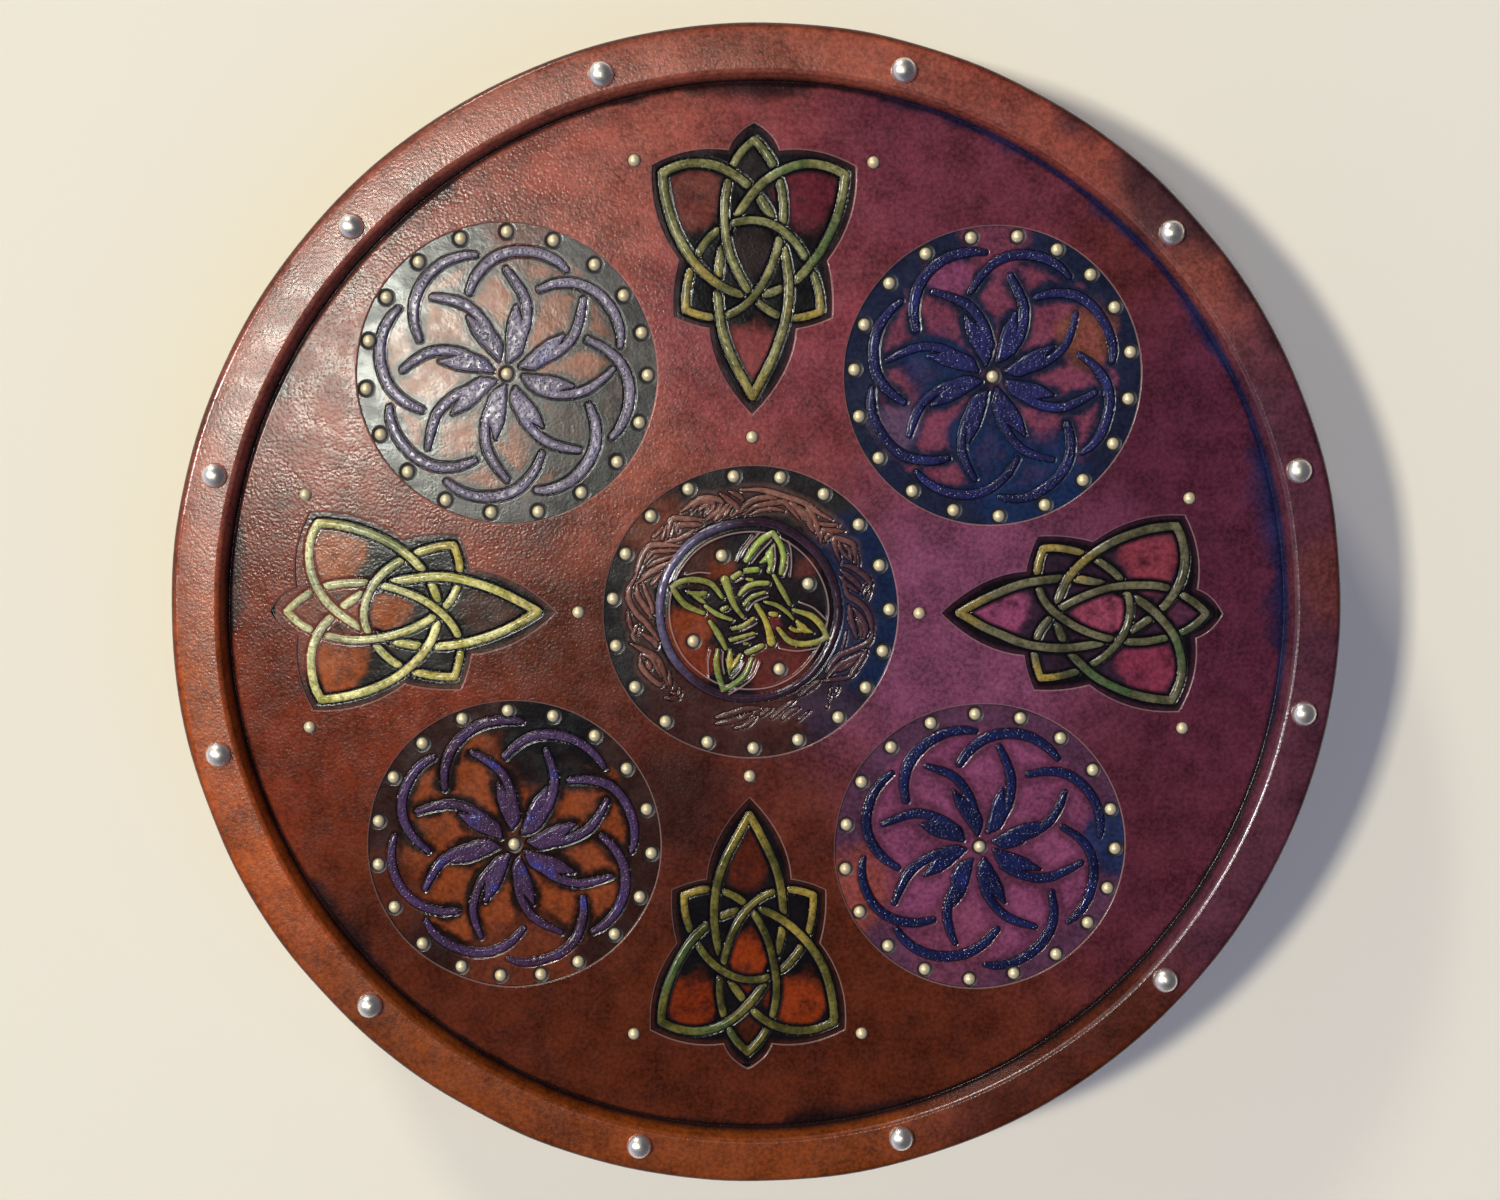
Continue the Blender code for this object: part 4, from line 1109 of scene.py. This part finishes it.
hoop_wash = ((0.120, 0.095, 0.150), -42, 10, 24, 26)
hoop_dye = wipe_all(tree, (0.034, 0.015, 0.024), (hoop_wash,), centre)
not_hoop = ramp(form, 0.4, 0.6)
among = times(times(ramp(rise, -3.0, -1.2), not_hoop), ramp(wall, 23.5, 22.0))
colour = blend(times(among, 0.24), colour, brown)
first_of_figure = 1 + len(bands) + len(cords) + len(cuts)
of_figure = ramp(form, first_of_figure - 0.6, first_of_figure - 0.4)
standing = blend(of_figure, blend(not_hoop, hoop_dye, brown), green)
colour = blend(ramp(rise, 0.0, 0.18), colour, standing)
colour = dye_unevenly(colour, 0.22, 0.32)
colour = ink_and_shade_the_cuts(colour, rise, pit, -0.55, 0.18)
# The thin ridges are painted pale: partly rubbed leather, partly a painted highlight for the light
# their walls catch.
rubbed = times(ramp(ridge, 0.3, 0.9), 0.8)
colour = blend(rubbed, colour, (0.36, 0.24, 0.20))
finish_leather(shader, colour, (0.6, 0.2), 0.14, 0.19, 0.00004, pit)

inner_tacks = [place_of(node) - centre for node in middle_tacks]
middle = carve("middle_roundel", centre, 0.0, in_roundel, middle_forms,
               np.vstack((ring_tack_places("middle"), inner_tacks)), 300, 0.4)
middle.data.materials.append(middle_finish)
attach(middle, "root")


# ---------------------------------------------------------------- the tacks
# Small pale brass tacks with domed heads, each driven into a punched pit. Nineteen
# stand round each roundel, and others inside the roundels and at the knots.

tack_head = (0.0026, 0.0020, 16, 10)      # radius, rise, sides, rings
tack_tilt = 4.0


def dome(radius, rise, sides, rings):
    """The head of a tack or nail: a sphere cut off at its middle, with a skirt, flattened."""
    head = start_with(bpy.ops.mesh.primitive_uv_sphere_add, segments=sides, ring_count=rings,
                      radius=radius, location=(0, 0, 0))
    edit_mode()
    bpy.ops.mesh.bisect(plane_co=(0, 0, 0), plane_no=(0, 0, 1), clear_inner=True)
    extrude_along(((0, 0, 0), (0, 0, -radius * 0.2)))
    edit_mode()
    bpy.ops.transform.resize(value=(1, 1, rise / radius))
    object_mode()
    bpy.ops.object.shade_smooth_by_angle(angle=math.radians(50))
    return head


def scatter_heads(name, places, seat, shape, tilt, seed):
    """Copies of one head at many places, each a little askew, joined into one piece."""
    pattern = dome(*shape)
    chance = np.random.default_rng(seed)
    heads = []
    for x, y in places:
        head = pattern.copy()
        head.data = pattern.data.copy()
        bpy.context.collection.objects.link(head)
        head.rotation_euler = (*np.radians(chance.normal(0, tilt, 2)), chance.uniform(0, 6))
        head.location = (x / 1000, y / 1000, seat)
        heads.append(head)
    bpy.data.objects.remove(pattern, do_unlink=True)
    piece = join(heads)
    piece.name = name
    bpy.ops.object.transform_apply()
    return piece


def metal_finish(name, bright, dull, roughness, tarnish_share, metallic=1.0):
    """Plated or polished metal, tarnished in soft patches and rubbed with fine scratches."""
    made, tree, shader = new_finish(name, roughness, metallic=metallic)
    spot = place_on(tree)
    patches = noise(spot, 330, 4)
    share = times(ramp(patches, 0.45, 0.70), tarnish_share)
    fill(shader.inputs["Base Color"], blend(share, bright, dull))
    fill(shader.inputs["Roughness"], ramp(patches, 0.3, 0.8, roughness, roughness + 0.18))
    raise_surface(shader, noise(spot, 1500, 2), 0.00002)
    return made


pale_brass = metal_finish("pale_brass", (0.80, 0.68, 0.39), (0.60, 0.43, 0.20), 0.38, 0.4, 0.4)
seat_in_pit = face_z - 0.00108            # the floor of a punched pit in a roundel
for name, centre in roundels.items():
    standing_for = middle_tacks if name == "middle" else [f"tack_{name}_whirl"]
    places = [*(ring_tack_places(name) + centre), *(place_of(node) for node in standing_for)]
    tacks = scatter_heads(name + "_tacks", places, seat_in_pit, tack_head, tack_tilt, len(name))
    tacks.data.materials.append(pale_brass)
    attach(tacks, "root")
    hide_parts(*standing_for)

tacks = scatter_heads("knot_tacks", knot_tacks.values(), face_z - tack_pit_depth, tack_head,
                      tack_tilt, 9)
tacks.data.materials.append(pale_brass)
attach(tacks, "root")
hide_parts(*knot_tacks)


# ---------------------------------------------------------------- the rim nails
# Twelve nickel-plated nails with high domed heads, driven through the rim into the ring.

nail_names = [f"rim_nail_{number:02d}" for number in range(1, 13)]
nail_head = (0.0055, 0.0040, 32, 20)
nail_tilt = 2.0
nickel = metal_finish("nickel_plate", (0.95, 0.89, 0.78), (0.62, 0.50, 0.36), 0.26, 0.4, 0.9)
nails = scatter_heads("rim_nails", [place_of(node) for node in nail_names], rim_z + 0.0002,
                      nail_head, nail_tilt, 4)
nails.data.materials.append(nickel)
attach(nails, "root")
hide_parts(*nail_names)


# ---------------------------------------------------------------- the board
# Birch plywood, sanded and left bare inside the hem of the hide. Its grain runs along
# the forearm.

def dress(node, finish):
    """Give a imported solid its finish."""
    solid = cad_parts[node]
    solid.data.materials.clear()
    solid.data.materials.append(finish)


birch, tree, shader = new_finish("birch_ply", 0.55, specular=0.4)
spot = place_on(tree)
drawn_out = add_node(tree, "Mapping", {"Vector": spot, "Scale": (4.0, 60.0, 60.0)}).outputs[0]
waves = add_node(tree, "TexNoise", {"Vector": drawn_out, "Scale": 1.6, "Detail": 6.0,
                                    "Distortion": 0.8}).outputs[0]
fibre = add_node(tree, "Mapping", {"Vector": spot, "Scale": (40.0, 900.0, 900.0)}).outputs[0]
fibres = noise(fibre, 1, 4)
wood = blend(ramp(waves, 0.35, 0.65), (0.50, 0.33, 0.17), (0.36, 0.21, 0.09))
wood = blend(times(ramp(fibres, 0.5, 0.7), 0.35), wood, (0.24, 0.13, 0.05))
fill(shader.inputs["Base Color"], wood)
raise_surface(shader, fibres, 0.00008)
dress("board", birch)


# ---------------------------------------------------------------- the loops
# Two straps of stiff harness leather, a wide one for the forearm and a narrow thick one
# for the hand, bent to shape while wet and nailed to the board at their feet.

harness, tree, shader = new_finish("harness_leather", 0.45, specular=0.5, coat=0.08)
wear = noise(place_on(tree), 60, 5)
tan = blend(ramp(wear, 0.35, 0.65), (0.070, 0.024, 0.010), (0.120, 0.046, 0.018))
finish_leather(shader, dye_unevenly(tan, 0.15, 0.12), (1.0, 1.0), 0.38, 0.55, 0.00016)
strap_edge_round = 0.0011


def make_strap(node, thickness, foot_end, foot_start, knee, flat):
    """A band extruded point by point from foot to foot, then thickened and rounded."""
    foot_z = back_z - 0.0003 - thickness / 2
    flat_z = thickness / 2
    half = ((foot_end, foot_z), (foot_start, foot_z), (foot_start - 0.009, foot_z - 0.005),
            (knee, flat_z + 0.014), (knee - 0.006, flat_z + 0.004), (flat, flat_z))
    path = [(-y, z) for y, z in half] + list(reversed(half))
    low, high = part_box(node)
    strap = start_with(bpy.ops.mesh.primitive_plane_add, size=1.0)
    strap.name = node.replace("_loop", "_strap")
    move_points(strap, np.array([(x, *point) for point in path[:2] for x in (low.x, high.x)]))
    edit_mode("DESELECT")
    select_edges(strap, lambda edge, middle: abs(middle.y - path[1][0]) < 0.0001)
    extrude_along([(0.0, y, z) for y, z in path[1:]])
    edit_mode()
    bpy.ops.mesh.normals_make_consistent(inside=False)
    object_mode()
    thicken = {"thickness": thickness, "offset": 0.0, "use_even_offset": True}
    rounding = {"width": strap_edge_round, "segments": 3}
    for kind, settings in (("SOLIDIFY", thicken), ("BEVEL", rounding)):
        finish = strap.modifiers.new(kind.lower(), kind)
        for option, choice in settings.items():
            setattr(finish, option, choice)
        bpy.ops.object.modifier_apply(modifier=kind.lower())
    bpy.ops.object.shade_smooth_by_angle(angle=math.radians(50))
    strap.data.materials.append(harness)
    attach(strap, "root")
    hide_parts(node)


make_strap("arm_loop", 0.0045, foot_end=0.098, foot_start=0.072, knee=0.048, flat=0.032)
make_strap("hand_loop", 0.0060, foot_end=0.090, foot_start=0.068, knee=0.055, flat=0.042)

blued = metal_finish("blued_steel", (0.24, 0.24, 0.26), (0.10, 0.07, 0.05), 0.35, 0.7)
for loop in ("arm_loop", "hand_loop"):
    for number in (1, 2, 3, 4):
        dress(f"{loop}_nail_{number}", blued)


# ---------------------------------------------------------------- floor, light, camera
# A plain pale floor. A small lamp high up leaves the sheen at the upper left, and a large
# one far to the left casts the shadow. Two weak ones and the dim, cool room fill it.

floor = start_with(bpy.ops.mesh.primitive_plane_add, size=60.0, location=(0, 0, 0))
floor.name = "floor"
paper, tree, shader = new_finish("pale_floor", 0.8, specular=0.2)
fill(shader.inputs["Base Color"], (0.90, 0.84, 0.64))
floor.data.materials.append(paper)


def lamp(name, at, size, watts, colour):
    """A square soft light at one place, turned to the middle of the shield's face."""
    light = bpy.data.lights.new(name, "AREA")
    light.size = size
    light.energy = watts
    light.color = colour
    holder = bpy.data.objects.new(name, light)
    bpy.context.scene.collection.objects.link(holder)
    x, y, z = at
    level = math.hypot(x, y)
    holder.location = at
    holder.rotation_euler = (math.atan2(level, z - face_z), 0.0, math.atan2(y, x) + math.pi / 2)


lamp("bulb", (-0.865, -0.045, 5.075), 0.42, 42.0, (0.96, 1.0, 0.88))
lamp("window", (-5.85, 1.035, 8.96), 0.98, 700.0, (1.0, 0.97, 0.93))
lamp("low_lamp", (-2.34, 4.40, 2.52), 0.67, 87.0, (1.0, 0.97, 0.88))
lamp("sky", (1.2, -0.6, 2.5), 2.5, 20.0, (0.20, 0.26, 1.0))
bpy.data.objects["sky"].visible_glossy = False
room = bpy.data.worlds.new("room")
bpy.context.scene.world = room
room.use_nodes = True
tree = room.node_tree
towards = add_node(tree, "TexCoord").outputs["Generated"]
parts = add_node(tree, "SeparateXYZ", {0: towards}).outputs
walls = ramp(parts["Z"], 0.25, 0.80, 0.27, 0.03)
walls = times(walls, ramp(parts["X"], -0.7, 0.4, 2.6, 0.3))
daylight = tree.nodes["Background"]
fill(daylight.inputs["Color"], (0.66, 0.70, 1.0))
fill(daylight.inputs["Strength"], walls)

# Seen past the edge of the floor, the room is a plain pale wall.
wall_paint = add_node(tree, "Background", {"Color": (0.80, 0.76, 0.68), "Strength": 0.75})
seen = add_node(tree, "LightPath").outputs["Is Camera Ray"]
both = add_node(tree, "MixShader", {0: seen, 1: daylight.outputs[0], 2: wall_paint.outputs[0]})
fill(tree.nodes["World Output"].inputs["Surface"], both.outputs[0])

view = bpy.data.cameras.new("camera")
view.lens = 57.35
view.sensor_width = 36.0
camera = bpy.data.objects.new("camera", view)
bpy.context.scene.collection.objects.link(camera)
camera.location = (-0.0365, 0.1482, face_z + 1.0294)
camera.rotation_euler = [math.radians(angle) for angle in (-7.730, -1.731, 0.394)]
bpy.context.scene.camera = camera
bpy.context.scene.view_settings.view_transform = "Standard"
